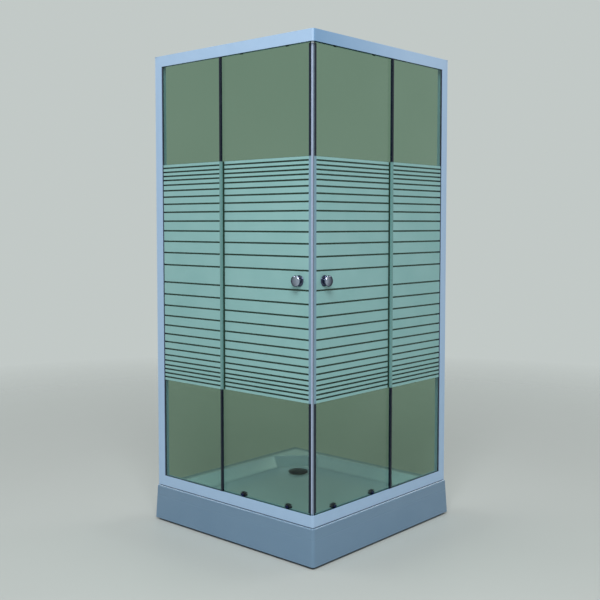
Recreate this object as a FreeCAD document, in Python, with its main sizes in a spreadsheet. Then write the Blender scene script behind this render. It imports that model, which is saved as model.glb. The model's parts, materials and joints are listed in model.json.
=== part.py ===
"""Square corner shower enclosure with two sliding doors on a low tray.

X runs right, Y runs back, Z runs up, in millimetres. The room's walls stand at the -X and the +Y edge of the
tray. The left glass side faces -Y and the right glass side faces +X; they mirror each other about the
diagonal through the front corner. Places across a glass side are given as depths from the face of its rails.
"""
import FreeCAD
import Part
import os
import Sketcher
from FreeCAD import Placement, Rotation, Vector
from types import SimpleNamespace

SIZES = {
    # tray
    "tray_width": 890,
    "skirt_gap": 8,
    "skirt_height": 139.5,
    "skirt_batter": 11.6,
    "skirt_edge_round": 8.5,
    "skirt_corner_round": 12,
    "shell_wall": 5,
    "wall_rim_width": 42,
    "sill_width": 62,
    "basin_depth": 50,
    "basin_draft": 40,
    "basin_corner_round": 30,
    "rim_edge_round": 5,
    "floor_edge_round": 14,
    "ledge_depth": 164.3,
    # board and feet
    "board_thickness": 10,
    "board_hole_radius": 52,
    "foot_front_inset": 155,
    "foot_side_inset": 125,
    "foot_drain_offset": 128,
    "foot_socket_radius": 25,
    "foot_socket_height": 18,
    "foot_leg_radius": 6,
    "foot_leg_clearance": 0.1,
    "foot_nut_radius": 11,
    "foot_nut_height": 8,
    "foot_pad_radius": 22,
    "foot_pad_height": 12,
    "foot_pad_chamfer": 3,
    "foot_leg_headroom": 6,
    # drain
    "drain_inset": 207,
    "drain_hole_radius": 32,
    "drain_flange_radius": 40,
    "drain_flange_thickness": 2.5,
    "drain_seal_thickness": 1,
    "drain_neck_wall": 3,
    "drain_neck_clearance": 0.5,
    "drain_neck_depth": 20,
    "drain_lip_height": 3,
    "drain_lip_width": 4.5,
    "trap_flange_radius": 44,
    "trap_flange_thickness": 4,
    "trap_radius": 39,
    "trap_wall": 3,
    "trap_bottom_gap": 14,
    "trap_thread_clearance": 0.1,
    "outlet_radius": 20,
    "outlet_wall": 2,
    "outlet_rise": 41,
    "outlet_end_inset": 45,
    "outlet_collar_radius": 24,
    "outlet_collar_reach": 62,
    "waste_notch_width": 84,
    "waste_notch_rise": 37,
    "cup_clearance": 0.3,
    "cup_rim_height": 3,
    "cup_tube_radius": 22,
    "cup_wall": 2,
    "cup_tube_depth": 50,
    "cup_bar_width": 6,
    "cup_bar_height": 4,
    "cover_radius": 44,
    "cover_top_radius": 27,
    "cover_dome_height": 8,
    "cover_thickness": 1.6,
    "cover_gap": 4,
    "cover_leg_width": 8,
    "cover_leg_depth": 9,
    # frame
    "frame_height": 1806.5,
    "rail_inset": 15.6,
    "rail_depth": 25.3,
    "rail_wall": 1.4,
    "top_rail_height": 44,
    "bottom_rail_height": 44.5,
    "slot_width": 6.6,
    "inner_wall_setback": 2.6,
    "shelf_reach": 5.5,
    "track_ridge_width": 1.2,
    "track_ridge_height": 4,
    "track_ridge_setback": 4,
    "screw_port_radius": 3,
    "screw_port_setback": 5.2,
    "post_face_width": 30,
    "post_slot_depth": 9,
    "post_wall_gap": 12,
    "channel_reach": 31,
    "channel_clearance": 0.4,
    "channel_hole_radius": 2.6,
    "channel_hole_inset": 103.25,
    "cap_thickness": 1.4,
    "cap_plug_depth": 8,
    "cap_plug_clearance": 0.3,
    "corner_face_width": 15,
    "corner_round": 10,
    "corner_leg_length": 40,
    "corner_leg_clearance": 0.2,
    "mitre_gap": 0.3,
    "screw_radius": 1.7,
    "screw_clearance": 0.1,
    "screw_head_radius": 2.9,
    "screw_head_height": 2,
    "screw_grip": 12,
    "screw_grip_short": 5,
    "stop_length": 10,
    "stop_height": 10,
    "stop_clearance": 0.6,
    # glass and its seals
    "glass_thickness": 5,
    "gasket_wall": 0.8,
    "gasket_base": 1,
    "gasket_lip": 5,
    "fixed_panel_share": 0.4421,
    "door_setback": 12.6,
    "door_overlap": 13,
    "door_front_inset": 25.4,
    "door_top_gap": 9.6,
    "door_bottom_gap": 9.6,
    "edge_seal_wall": 0.8,
    "edge_seal_grip": 7.5,
    "edge_seal_base": 1.5,
    "edge_seal_lip": 2.8,
    "magnet_seal_grip": 6,
    "magnet_seal_base": 5.5,
    "magnet_inset": 0.4,
    "seal_end_gap": 4,
    # knobs
    "knob_height": 1052,
    "knob_inset": 77.5,
    "knob_radius": 21,
    "knob_length": 29,
    "knob_rim_length": 10,
    "knob_waist_radius": 9,
    "knob_base_radius": 19.5,
    "knob_base_rim": 3,
    "knob_base_length": 7,
    "knob_edge_round": 2.5,
    "knob_hole_radius": 6,
    "knob_stud_radius": 4,
    "knob_stud_clearance": 0.1,
    # rollers
    "roller_front_inset": 115,
    "roller_rear_inset": 116.9,
    "wheel_radius": 12,
    "wheel_groove_depth": 2.5,
    "wheel_groove_width": 1.8,
    "wheel_width": 3.2,
    "wheel_track_clearance": 0.15,
    "axle_radius": 1.5,
    "axle_clearance": 0.05,
    "axle_head_radius": 2.4,
    "axle_head_length": 0.5,
    "side_clearance": 0.1,
    "plate_gap": 0.4,
    "plate_thickness": 1.4,
    "wheel_gap": 0.3,
    "hanger_width": 16,
    "hanger_overhang": 2,
    "hanger_rise": 8,
    "roller_cap_radius": 6,
    "roller_cap_thickness": 2.2,
    "roller_cap_clearance": 0.1,
    "glass_hole_radius": 5,
    "stud_radius": 2.5,
    "stud_end_gap": 1,
    "carriage_width": 14,
    "carriage_slot_radius": 3,
    "release_travel": 3.5,
    "housing_width": 30,
    "housing_clearance": 1.2,
    "housing_height": 5.5,
    "housing_depth": 12,
    "housing_corner_round": 3,
    "housing_stud_height": 2.8,
    "lever_width": 28,
    "lever_gap": 0.5,
    "lever_low_height": 1.6,
    "lever_peak_height": 4,
    "lever_peak_width": 3,
    "lever_peak_inset": 6,
    "spring_radius": 2.6,
    "spring_wire_radius": 0.4,
    "spring_turns": 3,
    "spring_offset": 10.5,
    "spring_pocket_depth": 4,
    "spring_pocket_clearance": 0.5,
    "open_gap": 9.5,
    # one overrun serves every cut
    "overrun": 5,
}

doc = FreeCAD.newDocument("ShowerEnclosure")


class Size:
    """A number together with the sheet formula that gives it, so that sums of sizes stay bound."""

    def __init__(self, value, formula):
        self.value = value
        self.formula = formula

    def joined(self, other, sign, value):
        formula = other.formula if isinstance(other, Size) else repr(other)
        return Size(value, "(%s %s %s)" % (self.formula, sign, formula))

    def __add__(self, other):
        return self.joined(other, "+", self.value + number(other))

    def __sub__(self, other):
        return self.joined(other, "-", self.value - number(other))

    def __mul__(self, other):
        return self.joined(other, "*", self.value * number(other))

    def __truediv__(self, other):
        return self.joined(other, "/", self.value / number(other))

    def __neg__(self):
        return Size(-self.value, "(0 - %s)" % self.formula)


def number(size):
    """The plain number of a size, or of a number."""
    return size.value if isinstance(size, Size) else size


def write_sheet():
    """Put every driving size in the sheet and hand them back as named sizes."""
    sheet = doc.addObject("Spreadsheet::Sheet", "sizes")
    for row, (alias, value) in enumerate(SIZES.items(), start=1):
        sheet.set("A%d" % row, alias)
        sheet.set("B%d" % row, str(value))
        sheet.setAlias("B%d" % row, alias)
    doc.recompute()
    return {alias: Size(float(sheet.get(alias)), "sizes." + alias) for alias in SIZES}


s = SimpleNamespace(**write_sheet())
zero = Size(0.0, "0")
DIAGONAL = 2 ** 0.5


def bind(item, prop, size):
    """Give a property its number and bind it to the sheet."""
    if isinstance(size, Size):
        item.setExpression(prop, size.formula)
    else:
        setattr(item, prop, size)


def place(item, x, y, z, rotation=None):
    """Place an object at named sizes, turned by a fixed rotation."""
    item.Placement = Placement(Vector(number(x), number(y), number(z)), rotation or Rotation())
    for axis, size in (("x", x), ("y", y), ("z", z)):
        if isinstance(size, Size):
            item.setExpression("Placement.Base." + axis, size.formula)
    return item


ALONG = {
    "+x": Rotation(Vector(0, 1, 0), 90),
    "-x": Rotation(Vector(0, 1, 0), -90),
    "+y": Rotation(Vector(1, 0, 0), -90),
    "-y": Rotation(Vector(1, 0, 0), 90),
    "+z": Rotation(),
}


def block(name, low, high):
    """A box between two corners."""
    item = doc.addObject("Part::Box", name)
    for prop, start, end in zip(("Length", "Width", "Height"), low, high):
        bind(item, prop, end - start)
    return place(item, *low)


def rod(name, radius, start, length, along="+z"):
    """A cylinder from a point along an axis."""
    item = doc.addObject("Part::Cylinder", name)
    bind(item, "Radius", radius)
    bind(item, "Height", length)
    return place(item, *start, ALONG[along])


def cone(name, radius, end_radius, start, length, along="+z"):
    item = doc.addObject("Part::Cone", name)
    bind(item, "Radius1", radius)
    bind(item, "Radius2", end_radius)
    bind(item, "Height", length)
    return place(item, *start, ALONG[along])


def joined(name, parts):
    item = doc.addObject("Part::MultiFuse", name)
    item.Shapes = parts
    return item


def without(name, base, tools):
    """The base with every tool cut out of it."""
    item = doc.addObject("Part::Cut", name)
    item.Base = base
    item.Tool = tools[0] if len(tools) == 1 else joined(name + "_tools", tools)
    return item


def group(name, parts):
    """Separate solids that share one node."""
    item = doc.addObject("Part::Compound", name)
    item.Links = parts
    return item


def mirrored(name, source):
    """The same piece on the right glass side, mirrored about the diagonal through the front corner."""
    item = doc.addObject("Part::Mirroring", name)
    item.Source = source
    item.Base = Vector(0, 0, 0)
    item.Normal = Vector(1, 1, 0)
    return item


def plane_of(body, role):
    return next(feature for feature in body.Origin.OriginFeatures if feature.Role == role)


def sketch_on(body, name, role, offset=None):
    """A sketch on one of the body's own planes, moved along that plane's normal."""
    sketch = body.newObject("Sketcher::SketchObject", name)
    sketch.AttachmentSupport = (plane_of(body, role), [""])
    sketch.MapMode = "FlatFace"
    if offset is not None:
        sketch.setExpression("AttachmentOffset.Base.z", offset.formula)
    return sketch


def fix_point(sketch, geometry, point, x, y):
    """Tie a point of a sketch to the sketch's origin with two named distances."""
    for kind, size in (("DistanceX", x), ("DistanceY", y)):
        row = sketch.addConstraint(Sketcher.Constraint(kind, -1, 1, geometry, point, number(size)))
        if isinstance(size, Size):
            sketch.setExpression("Constraints[%d]" % row, size.formula)


def outline(sketch, corners):
    """A closed outline of straight sides through named corners."""
    first = sketch.GeometryCount
    count = len(corners)
    spots = [Vector(number(x), number(y), 0) for x, y in corners]
    for index, spot in enumerate(spots):
        sketch.addGeometry(Part.LineSegment(spot, spots[(index + 1) % count]), False)
    for index in range(count):
        following = first + (index + 1) % count
        sketch.addConstraint(Sketcher.Constraint("Coincident", first + index, 2, following, 1))
    for index, (x, y) in enumerate(corners):
        fix_point(sketch, first + index, 1, x, y)
    return sketch


def circle(sketch, x, y, radius):
    centre = Vector(number(x), number(y), 0)
    index = sketch.addGeometry(Part.Circle(centre, Vector(0, 0, 1), number(radius)), False)
    row = sketch.addConstraint(Sketcher.Constraint("Radius", index, number(radius)))
    sketch.setExpression("Constraints[%d]" % row, radius.formula)
    fix_point(sketch, index, 3, x, y)
    return sketch


def pad(body, sketch, length, reverse=False):
    feature = body.newObject("PartDesign::Pad", sketch.Name + "_pad")
    feature.Profile = sketch
    bind(feature, "Length", length)
    feature.Reversed = reverse
    return feature


def pocket(body, sketch, length, reverse=False):
    """A pocket that has to take something away."""
    doc.recompute()
    before = body.Shape.Volume
    feature = body.newObject("PartDesign::Pocket", sketch.Name + "_pocket")
    feature.Profile = sketch
    bind(feature, "Length", length)
    feature.Reversed = reverse
    doc.recompute()
    if not feature.Shape.Volume < before:
        raise ValueError("the pocket %s takes nothing away" % feature.Name)
    return feature


def revolve(body, sketch, axis="V_Axis"):
    feature = body.newObject("PartDesign::Revolution", sketch.Name + "_turn")
    feature.Profile = sketch
    feature.ReferenceAxis = (sketch, [axis])
    feature.Angle = 360
    return feature


def round_edges(body, name, radius, chosen):
    """Round the edges that a test picks on the body as it is so far."""
    doc.recompute()
    tip = body.Tip
    names = ["Edge%d" % (index + 1) for index, edge in enumerate(tip.Shape.Edges) if chosen(edge)]
    if not names:
        raise ValueError("no edge to round for " + name)
    feature = body.newObject("PartDesign::Fillet", name)
    feature.Base = (tip, names)
    bind(feature, "Radius", radius)
    return feature


def near(first, second):
    return abs(first - second) < 1e-4


def centre_of(edge):
    return edge.valueAt((edge.FirstParameter + edge.LastParameter) / 2)


# Places that many pieces share
half = s.tray_width / 2
tray_top = s.skirt_gap + s.skirt_height
frame_top = tray_top + s.frame_height
rail_front = half - s.rail_inset
top_rail_low = frame_top - s.top_rail_height
bottom_rail_top = tray_top + s.bottom_rail_height
basin_floor = tray_top - s.basin_depth
ledge_reach = half * DIAGONAL - s.ledge_depth
post_side = s.post_wall_gap + s.post_face_width - half
rail_end = rail_front - s.corner_face_width
slot_far = s.rail_wall + s.slot_width
fixed_near = s.rail_wall + s.gasket_wall
fixed_far = fixed_near + s.glass_thickness
door_near = s.door_setback
door_far = door_near + s.glass_thickness
plate_near = door_far + s.plate_gap
plate_far = plate_near + s.plate_thickness
wheel_near = plate_far + s.wheel_gap
wheel_far = wheel_near + s.wheel_width
axle_end = wheel_far + s.side_clearance + s.axle_head_length
groove_radius = s.wheel_radius - s.wheel_groove_depth
fixed_edge = s.tray_width * s.fixed_panel_share - half
door_rear = fixed_edge - s.door_overlap
door_front = rail_front - s.door_front_inset
door_low = tray_top + s.door_bottom_gap
door_high = frame_top - s.door_top_gap
knob_x = rail_front - s.knob_inset
drain_x = s.drain_inset - half
drain_y = half - s.drain_inset
outlet_z = s.trap_bottom_gap + s.outlet_rise
roller_places = {"front": door_front - s.roller_front_inset, "rear": door_rear + s.roller_rear_inset}
door_travel = door_rear - post_side - s.open_gap


def deep(depth):
    """The Y of a depth behind the face of the left side's rails."""
    return depth - rail_front


def axis_point(x, depth, z):
    return (x, deep(depth), z)


# Tray
def tapered(body, kind, name, low, high, foot, head, turn=Rotation()):
    """A block that narrows from its foot to its head, each given as low X, high X, low Y and high Y."""
    feature = body.newObject("PartDesign::" + kind, name)
    sides = {"Ymin": low, "Ymax": high}
    for mark, (left, right, front, back) in (("", foot), ("2", head)):
        sides["X%smin" % mark] = left
        sides["X%smax" % mark] = right
        sides["Z%smin" % mark] = -back
        sides["Z%smax" % mark] = -front
    for prop, size in sides.items():
        setattr(feature, prop, number(size))
    for prop, size in sides.items():
        feature.setExpression(prop, size.formula)
    feature.Placement = Placement(Vector(0, 0, 0), turn * Rotation(Vector(1, 0, 0), 90))
    return feature


def basin_sides(grow, inset):
    left = s.wall_rim_width + inset - grow - half
    front = half - s.skirt_batter - s.sill_width - inset + grow
    return left, front, -front, -left


def ledge_sides(grow, inset):
    reach = ledge_reach + grow - inset
    return reach, half * 2, -half, half


def basin_block(body, kind, name, grow, low, high):
    """The basin's hollow, grown by the shell for its outer skin, with the ledge's slanted corner cut away."""
    tapered(body, kind, name, low, high, basin_sides(grow, s.basin_draft), basin_sides(grow, zero))
    return tapered(body, "SubtractiveWedge", name + "_ledge", low, high, ledge_sides(grow, s.basin_draft),
                   ledge_sides(grow, zero), Rotation(Vector(0, 0, 1), 135))


def is_level(edge, height):
    return near(edge.BoundBox.ZMin, height.value) and near(edge.BoundBox.ZMax, height.value)


def make_skirt():
    """The tray's outer block, with its front corner and its two exposed top edges rounded."""
    body = doc.addObject("PartDesign::Body", "skirt_block")
    tapered(body, "AdditiveWedge", "skirt", s.skirt_gap, tray_top, (-half, half, -half, half),
            (-half, half - s.skirt_batter, s.skirt_batter - half, half))
    corner = (half - s.skirt_batter / 2).value
    round_edges(body, "skirt_corner", s.skirt_corner_round, lambda edge: (
        near(centre_of(edge).x, corner) and near(centre_of(edge).y, -corner)))
    exposed = (half - s.skirt_batter).value - s.skirt_corner_round.value
    round_edges(body, "skirt_edge", s.skirt_edge_round, lambda edge: (
        is_level(edge, tray_top) and (centre_of(edge).x > exposed or centre_of(edge).y < -exposed)))
    return body


def make_basin():
    """The basin's hollow with rounded corners and a rounded floor edge."""
    body = doc.addObject("PartDesign::Body", "basin_hollow")
    basin_block(body, "AdditiveWedge", "basin", zero, basin_floor, tray_top)
    round_edges(body, "basin_corners", s.basin_corner_round, lambda edge: (
        edge.BoundBox.ZLength > s.basin_depth.value - 1))
    round_edges(body, "basin_floor_edge", s.floor_edge_round, lambda edge: is_level(edge, basin_floor))
    return body


def make_tray():
    """The tray's shell: skirt, sill and basin, with the drain's hole and a notch for the waste pipe."""
    wall = s.shell_wall
    hollow = doc.addObject("PartDesign::Body", "tray_hollow")
    tapered(hollow, "AdditiveWedge", "underside", s.skirt_gap, tray_top - wall,
            (wall - half, half - wall, wall - half, half - wall),
            (wall - half, half - s.skirt_batter - wall, s.skirt_batter + wall - half, half - wall))
    bowl = doc.addObject("PartDesign::Body", "basin_bowl")
    basin_block(bowl, "AdditiveWedge", "bowl", wall, basin_floor - wall, tray_top - wall / 2)
    shell = joined("tray_shell", [without("skirt_shell", make_skirt(), [hollow]), bowl])
    hole = rod("drain_hole", s.drain_hole_radius, (drain_x, drain_y, basin_floor - wall - s.overrun),
               wall + s.overrun * 2)
    notch = block("waste_notch", (-half - s.overrun, drain_y - s.waste_notch_width / 2, s.skirt_gap - s.overrun),
                  (wall - half + s.overrun, drain_y + s.waste_notch_width / 2, outlet_z + s.waste_notch_rise))
    opened = without("tray_opened", shell, [make_basin(), hole, notch])
    body = doc.addObject("PartDesign::Body", "shower_tray")
    doc.recompute()
    body.BaseFeature = opened
    edge_limit = (half - s.skirt_batter - s.sill_width).value + 1
    round_edges(body, "basin_rim_edge", s.rim_edge_round, lambda edge: (
        is_level(edge, tray_top) and edge.BoundBox.XMax < edge_limit and edge.BoundBox.YMin > -edge_limit
        and edge.BoundBox.XMin > 1 - half.value and edge.BoundBox.YMax < half.value - 1))
    return body


def make_board():
    """The stiffening board under the basin's floor."""
    body = doc.addObject("PartDesign::Body", "tray_base_board")
    left, front = basin_sides(zero, s.basin_draft)[:2]
    leg = -left * 2 - (ledge_reach - s.basin_draft) * DIAGONAL
    low = basin_floor - s.shell_wall - s.board_thickness
    sketch = outline(sketch_on(body, "board_outline", "XY_Plane", low), [
        (left, -front),
        (front, -front),
        (front, -left),
        (left + leg, -left),
        (left, -left - leg),
    ])
    circle(sketch, drain_x, drain_y, s.board_hole_radius)
    pad(body, sketch, s.board_thickness)
    return body


def foot_places():
    """Three feet near the corners and two beside the drain, mirrored about the diagonal."""
    front = half - s.foot_front_inset
    side = half - s.foot_side_inset
    beside_drain = drain_x + s.foot_drain_offset
    return [(-side, -front), (front, side), (front, -front), (beside_drain, side), (-side, -beside_drain)]


def make_feet():
    board_low = basin_floor - s.shell_wall - s.board_thickness
    socket_low = board_low - s.foot_socket_height
    nut_low = socket_low - s.foot_nut_height
    hole = s.foot_leg_radius + s.foot_leg_clearance
    sockets = []
    legs = []
    nuts = []
    for index, (x, y) in enumerate(foot_places(), start=1):
        disc = rod("socket_disc_%d" % index, s.foot_socket_radius, (x, y, socket_low), s.foot_socket_height)
        bore = rod("socket_bore_%d" % index, hole, (x, y, socket_low), s.foot_socket_height)
        sockets.append(without("foot_socket_%d" % index, disc, [bore]))
        stem_top = board_low - s.foot_leg_headroom
        stem = rod("leg_stem_%d" % index, s.foot_leg_radius, (x, y, s.foot_pad_height),
                   stem_top - s.foot_pad_height)
        pad_low = cone("leg_pad_low_%d" % index, s.foot_pad_radius - s.foot_pad_chamfer, s.foot_pad_radius,
                       (x, y, zero), s.foot_pad_chamfer)
        pad_high = rod("leg_pad_%d" % index, s.foot_pad_radius, (x, y, s.foot_pad_chamfer),
                       s.foot_pad_height - s.foot_pad_chamfer)
        legs.append(joined("foot_leg_%d" % index, [stem, pad_low, pad_high]))
        prism = doc.addObject("Part::Prism", "nut_prism_%d" % index)
        prism.Polygon = 6
        bind(prism, "Circumradius", s.foot_nut_radius)
        bind(prism, "Height", s.foot_nut_height)
        place(prism, x, y, nut_low)
        nut_bore = rod("nut_bore_%d" % index, hole, (x, y, nut_low), s.foot_nut_height)
        nuts.append(without("foot_nut_%d" % index, prism, [nut_bore]))
    return [group("foot_sockets", sockets), group("foot_legs", legs), group("foot_nuts", nuts)]


# Drain
flange_low = basin_floor + s.drain_seal_thickness
flange_top = flange_low + s.drain_flange_thickness
neck_outer = s.drain_hole_radius - s.drain_neck_clearance
neck_inner = neck_outer - s.drain_neck_wall
neck_low = flange_top - s.drain_neck_depth
lip_top = neck_low + s.drain_lip_height
trap_top = basin_floor - s.shell_wall - s.drain_seal_thickness


def turned(name, corners):
    """A body turned about the drain's axis from corners given as radius and height."""
    body = doc.addObject("PartDesign::Body", name)
    sketch = outline(sketch_on(body, name + "_profile", "XZ_Plane"), corners)
    revolve(body, sketch)
    return body


def make_drain():
    flange = turned("drain_flange", [
        (neck_inner, flange_top),
        (s.drain_flange_radius, flange_top),
        (s.drain_flange_radius, flange_low),
        (neck_outer, flange_low),
        (neck_outer, neck_low),
        (neck_inner - s.drain_lip_width, neck_low),
        (neck_inner - s.drain_lip_width, lip_top),
        (neck_inner, lip_top),
    ])
    upper = turned("drain_seal_upper", [
        (neck_outer + s.drain_neck_clearance, basin_floor),
        (s.drain_flange_radius - s.drain_seal_thickness, basin_floor),
        (s.drain_flange_radius - s.drain_seal_thickness, flange_low),
        (neck_outer + s.drain_neck_clearance, flange_low),
    ])
    lower = turned("drain_seal_lower", [
        (neck_outer + s.drain_neck_clearance, trap_top),
        (s.trap_flange_radius - s.drain_seal_thickness, trap_top),
        (s.trap_flange_radius - s.drain_seal_thickness, trap_top + s.drain_seal_thickness),
        (neck_outer + s.drain_neck_clearance, trap_top + s.drain_seal_thickness),
    ])
    seals = group("drain_seals", [upper, lower])
    inner = s.trap_radius - s.trap_wall
    trap_body = turned("trap_body", [
        (neck_outer + s.trap_thread_clearance, trap_top),
        (s.trap_flange_radius, trap_top),
        (s.trap_flange_radius, trap_top - s.trap_flange_thickness),
        (s.trap_radius, trap_top - s.trap_flange_thickness),
        (s.trap_radius, s.trap_bottom_gap),
        (zero, s.trap_bottom_gap),
        (zero, s.trap_bottom_gap + s.trap_wall),
        (inner, s.trap_bottom_gap + s.trap_wall),
        (inner, neck_low - s.trap_wall),
        (neck_outer + s.trap_thread_clearance, neck_low - s.trap_wall),
    ])
    start = (-s.cup_tube_radius, zero, outlet_z)
    collar = rod("outlet_collar", s.outlet_collar_radius, start, s.outlet_collar_reach - s.cup_tube_radius, "-x")
    pipe_length = half - s.outlet_end_inset + drain_x - s.cup_tube_radius
    pipe = rod("outlet_pipe", s.outlet_radius, start, pipe_length, "-x")
    bore = rod("outlet_bore", s.outlet_radius - s.outlet_wall, start, pipe_length + s.overrun, "-x")
    trap_floor = s.trap_bottom_gap + s.trap_wall
    inside = rod("trap_inside", inner, (zero, zero, trap_floor), neck_low - s.trap_wall - trap_floor)
    trap = without("drain_trap", joined("trap_with_pipe", [trap_body, collar, pipe]), [bore, inside])
    return [flange, seals, trap]


def make_cup():
    """The dip cup that hangs from the flange's lip, with a bar across to lift it by."""
    rim = neck_inner - s.cup_clearance
    rim_top = lip_top + s.cup_rim_height
    shell = turned("cup_shell", [
        (s.cup_tube_radius - s.cup_wall, rim_top),
        (rim, rim_top),
        (rim, lip_top),
        (s.cup_tube_radius, lip_top),
        (s.cup_tube_radius, lip_top - s.cup_tube_depth),
        (s.cup_tube_radius - s.cup_wall, lip_top - s.cup_tube_depth),
    ])
    bar = block("cup_bar", (-s.cup_tube_radius + s.cup_wall / 2, -s.cup_bar_width / 2, rim_top - s.cup_bar_height),
                (s.cup_tube_radius - s.cup_wall / 2, s.cup_bar_width / 2, rim_top))
    return joined("drain_cup", [shell, bar])


def make_cover():
    """The domed cover on three legs, which stand on the flange and reach into its neck."""
    low = flange_top + s.cover_gap
    dome = turned("cover_dome", [
        (zero, low + s.cover_dome_height),
        (s.cover_top_radius, low + s.cover_dome_height - s.cover_thickness / 4),
        (s.cover_radius - s.cover_thickness, low + s.cover_thickness),
        (s.cover_radius, low + s.cover_thickness / 2),
        (s.cover_radius, low),
        (s.cover_radius - s.cover_thickness * 2, low),
        (s.cover_top_radius - s.cover_thickness, low + s.cover_dome_height - s.cover_thickness * 5 / 4),
        (zero, low + s.cover_dome_height - s.cover_thickness),
    ])
    leg_outer = neck_inner - s.cup_clearance
    shoulder = s.drain_flange_radius - s.cover_thickness * 2
    under_dome = low + s.cover_thickness * 3 / 2
    legs = []
    for index in range(3):
        turn = Rotation(Vector(0, 0, 1), 120 * index)
        foot = block("cover_leg_foot_%d" % index, (leg_outer - s.cover_thickness * 2, -s.cover_leg_width / 2,
                                                   flange_top - s.cover_leg_depth),
                     (leg_outer, s.cover_leg_width / 2, under_dome))
        rest = block("cover_leg_rest_%d" % index, (leg_outer - s.cover_thickness, -s.cover_leg_width / 2, flange_top),
                     (shoulder, s.cover_leg_width / 2, under_dome))
        leg = joined("cover_leg_%d" % index, [foot, rest])
        leg.Placement = Placement(Vector(0, 0, 0), turn)
        legs.append(leg)
    return joined("drain_cover", [dome] + legs)


# Rails
def rail_corners(height, up):
    """A rail's section as depth and height: glass slot, door gap, and a track ridge over its inner shelf.

    The top rail carries its ridge upwards on the low shelf; the bottom rail is the same section turned over.
    """
    inner = s.rail_depth - s.rail_wall
    shelf = s.rail_depth - s.shelf_reach
    ridge = wheel_near + s.wheel_width / 2 - s.track_ridge_width / 2
    slot = slot_far + s.rail_wall
    low_inner_wall = s.inner_wall_setback
    return [(depth, up(level)) for depth, level in (
        (zero, zero),
        (s.rail_wall, zero),
        (s.rail_wall, height - s.rail_wall),
        (slot_far, height - s.rail_wall),
        (slot_far, low_inner_wall),
        (slot, low_inner_wall),
        (slot, height - s.rail_wall),
        (inner, height - s.rail_wall),
        (inner, s.rail_wall * 2),
        (ridge + s.track_ridge_width, s.rail_wall * 2),
        (ridge + s.track_ridge_width, s.rail_wall * 2 + s.track_ridge_height),
        (ridge, s.rail_wall * 2 + s.track_ridge_height),
        (ridge, s.rail_wall * 2),
        (shelf, s.rail_wall * 2),
        (shelf, s.rail_wall),
        (s.rail_depth, s.rail_wall),
        (s.rail_depth, height),
        (zero, height),
    )]


def make_rail(name, height, up, web):
    """A rail from the wall post to the corner piece, mitred behind it, with a screw port at its web."""
    body = doc.addObject("PartDesign::Body", name)
    sketch = sketch_on(body, name + "_section", "YZ_Plane", post_side)
    outline(sketch, [(deep(depth), level) for depth, level in rail_corners(height, up)])
    pad(body, sketch, rail_end - post_side)
    port_depth = slot_far + s.rail_wall + s.screw_port_setback
    port = sketch_on(body, name + "_port", "YZ_Plane", post_side)
    reach = s.screw_port_radius
    corners = ((port_depth - reach, web), (port_depth + reach, web),
               (port_depth + reach, web - s.screw_port_radius * 2), (port_depth - reach, web - s.screw_port_radius * 2))
    outline(port, [(deep(depth), up(level)) for depth, level in corners])
    pad(body, port, s.corner_leg_length)
    bore = circle(sketch_on(body, name + "_bore", "YZ_Plane", post_side), deep(port_depth),
                  up(web - s.screw_port_radius), s.screw_radius + s.screw_clearance)
    pocket(body, bore, s.corner_leg_length, reverse=True)
    mitre = sketch_on(body, name + "_mitre", "XY_Plane", up(height / 2) - height)
    gap = s.mitre_gap
    outline(mitre, [
        (rail_end - gap, deep(s.corner_face_width)),
        (rail_end + s.overrun, deep(s.corner_face_width - s.overrun - gap)),
        (rail_end + s.overrun, deep(s.rail_depth + s.overrun)),
        (rail_end - s.rail_depth + s.corner_face_width - s.overrun - gap, deep(s.rail_depth + s.overrun)),
    ])
    pocket(body, mitre, height * 2, reverse=True)
    return body


def make_rails():
    """Both left rails, with holes for the corner pieces' screws in their inner walls."""
    made = []
    for name, height, up in (
        ("top_rail", s.top_rail_height, lambda level: top_rail_low + level),
        ("bottom_rail", s.bottom_rail_height, lambda level: bottom_rail_top - level),
    ):
        rail = make_rail("plain_" + name, height, up, height - s.rail_wall)
        hole = rod(name + "_screw_hole", s.screw_radius + s.screw_clearance,
                   axis_point(rail_end - s.corner_leg_length / 2, slot_far - s.overrun / 2, up(height / 2)),
                   s.rail_wall + s.overrun, "+y")
        made.append(without("left_" + name, rail, [hole]))
    return made


def make_corner(name, low, high, plate_low):
    """A corner piece: a rounded angle that caps both rails' ends, with a leg in each rail's glass slot."""
    body = doc.addObject("PartDesign::Body", name)
    face = sketch_on(body, name + "_face", "XY_Plane", low)
    inner = rail_front - slot_far
    outline(face, [
        (rail_front, -rail_front),
        (rail_front, -rail_end),
        (inner, -rail_end),
        (inner, -inner),
        (rail_end, -inner),
        (rail_end, -rail_front),
    ])
    pad(body, face, high - low)
    clear = s.corner_leg_clearance
    for side in ("left", "right"):
        leg = sketch_on(body, "%s_%s_leg" % (name, side), "XY_Plane", low + s.rail_wall + clear)
        along = (rail_end - s.corner_leg_length, rail_end)
        across = (s.rail_wall + clear - rail_front, slot_far - clear - rail_front)
        spots = [(along[0], across[0]), (along[1], across[0]), (along[1], across[1]), (along[0], across[1])]
        if side == "right":
            spots = [(-y, -x) for x, y in reversed(spots)]
        outline(leg, spots)
        pad(body, leg, high - low - s.rail_wall * 2 - clear * 2)
    plate = sketch_on(body, name + "_plate", "XY_Plane", plate_low)
    outline(plate, [
        (inner + clear, -inner - clear),
        (inner + clear, -rail_end - clear),
        (rail_end + clear, -rail_end - clear),
        (rail_end + clear, -inner - clear),
    ])
    pad(body, plate, s.rail_wall)
    corner = rail_front.value
    round_edges(body, name + "_round", s.corner_round, lambda edge: (
        near(centre_of(edge).x, corner) and near(centre_of(edge).y, -corner) and edge.Length > s.corner_round.value))
    return body


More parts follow.
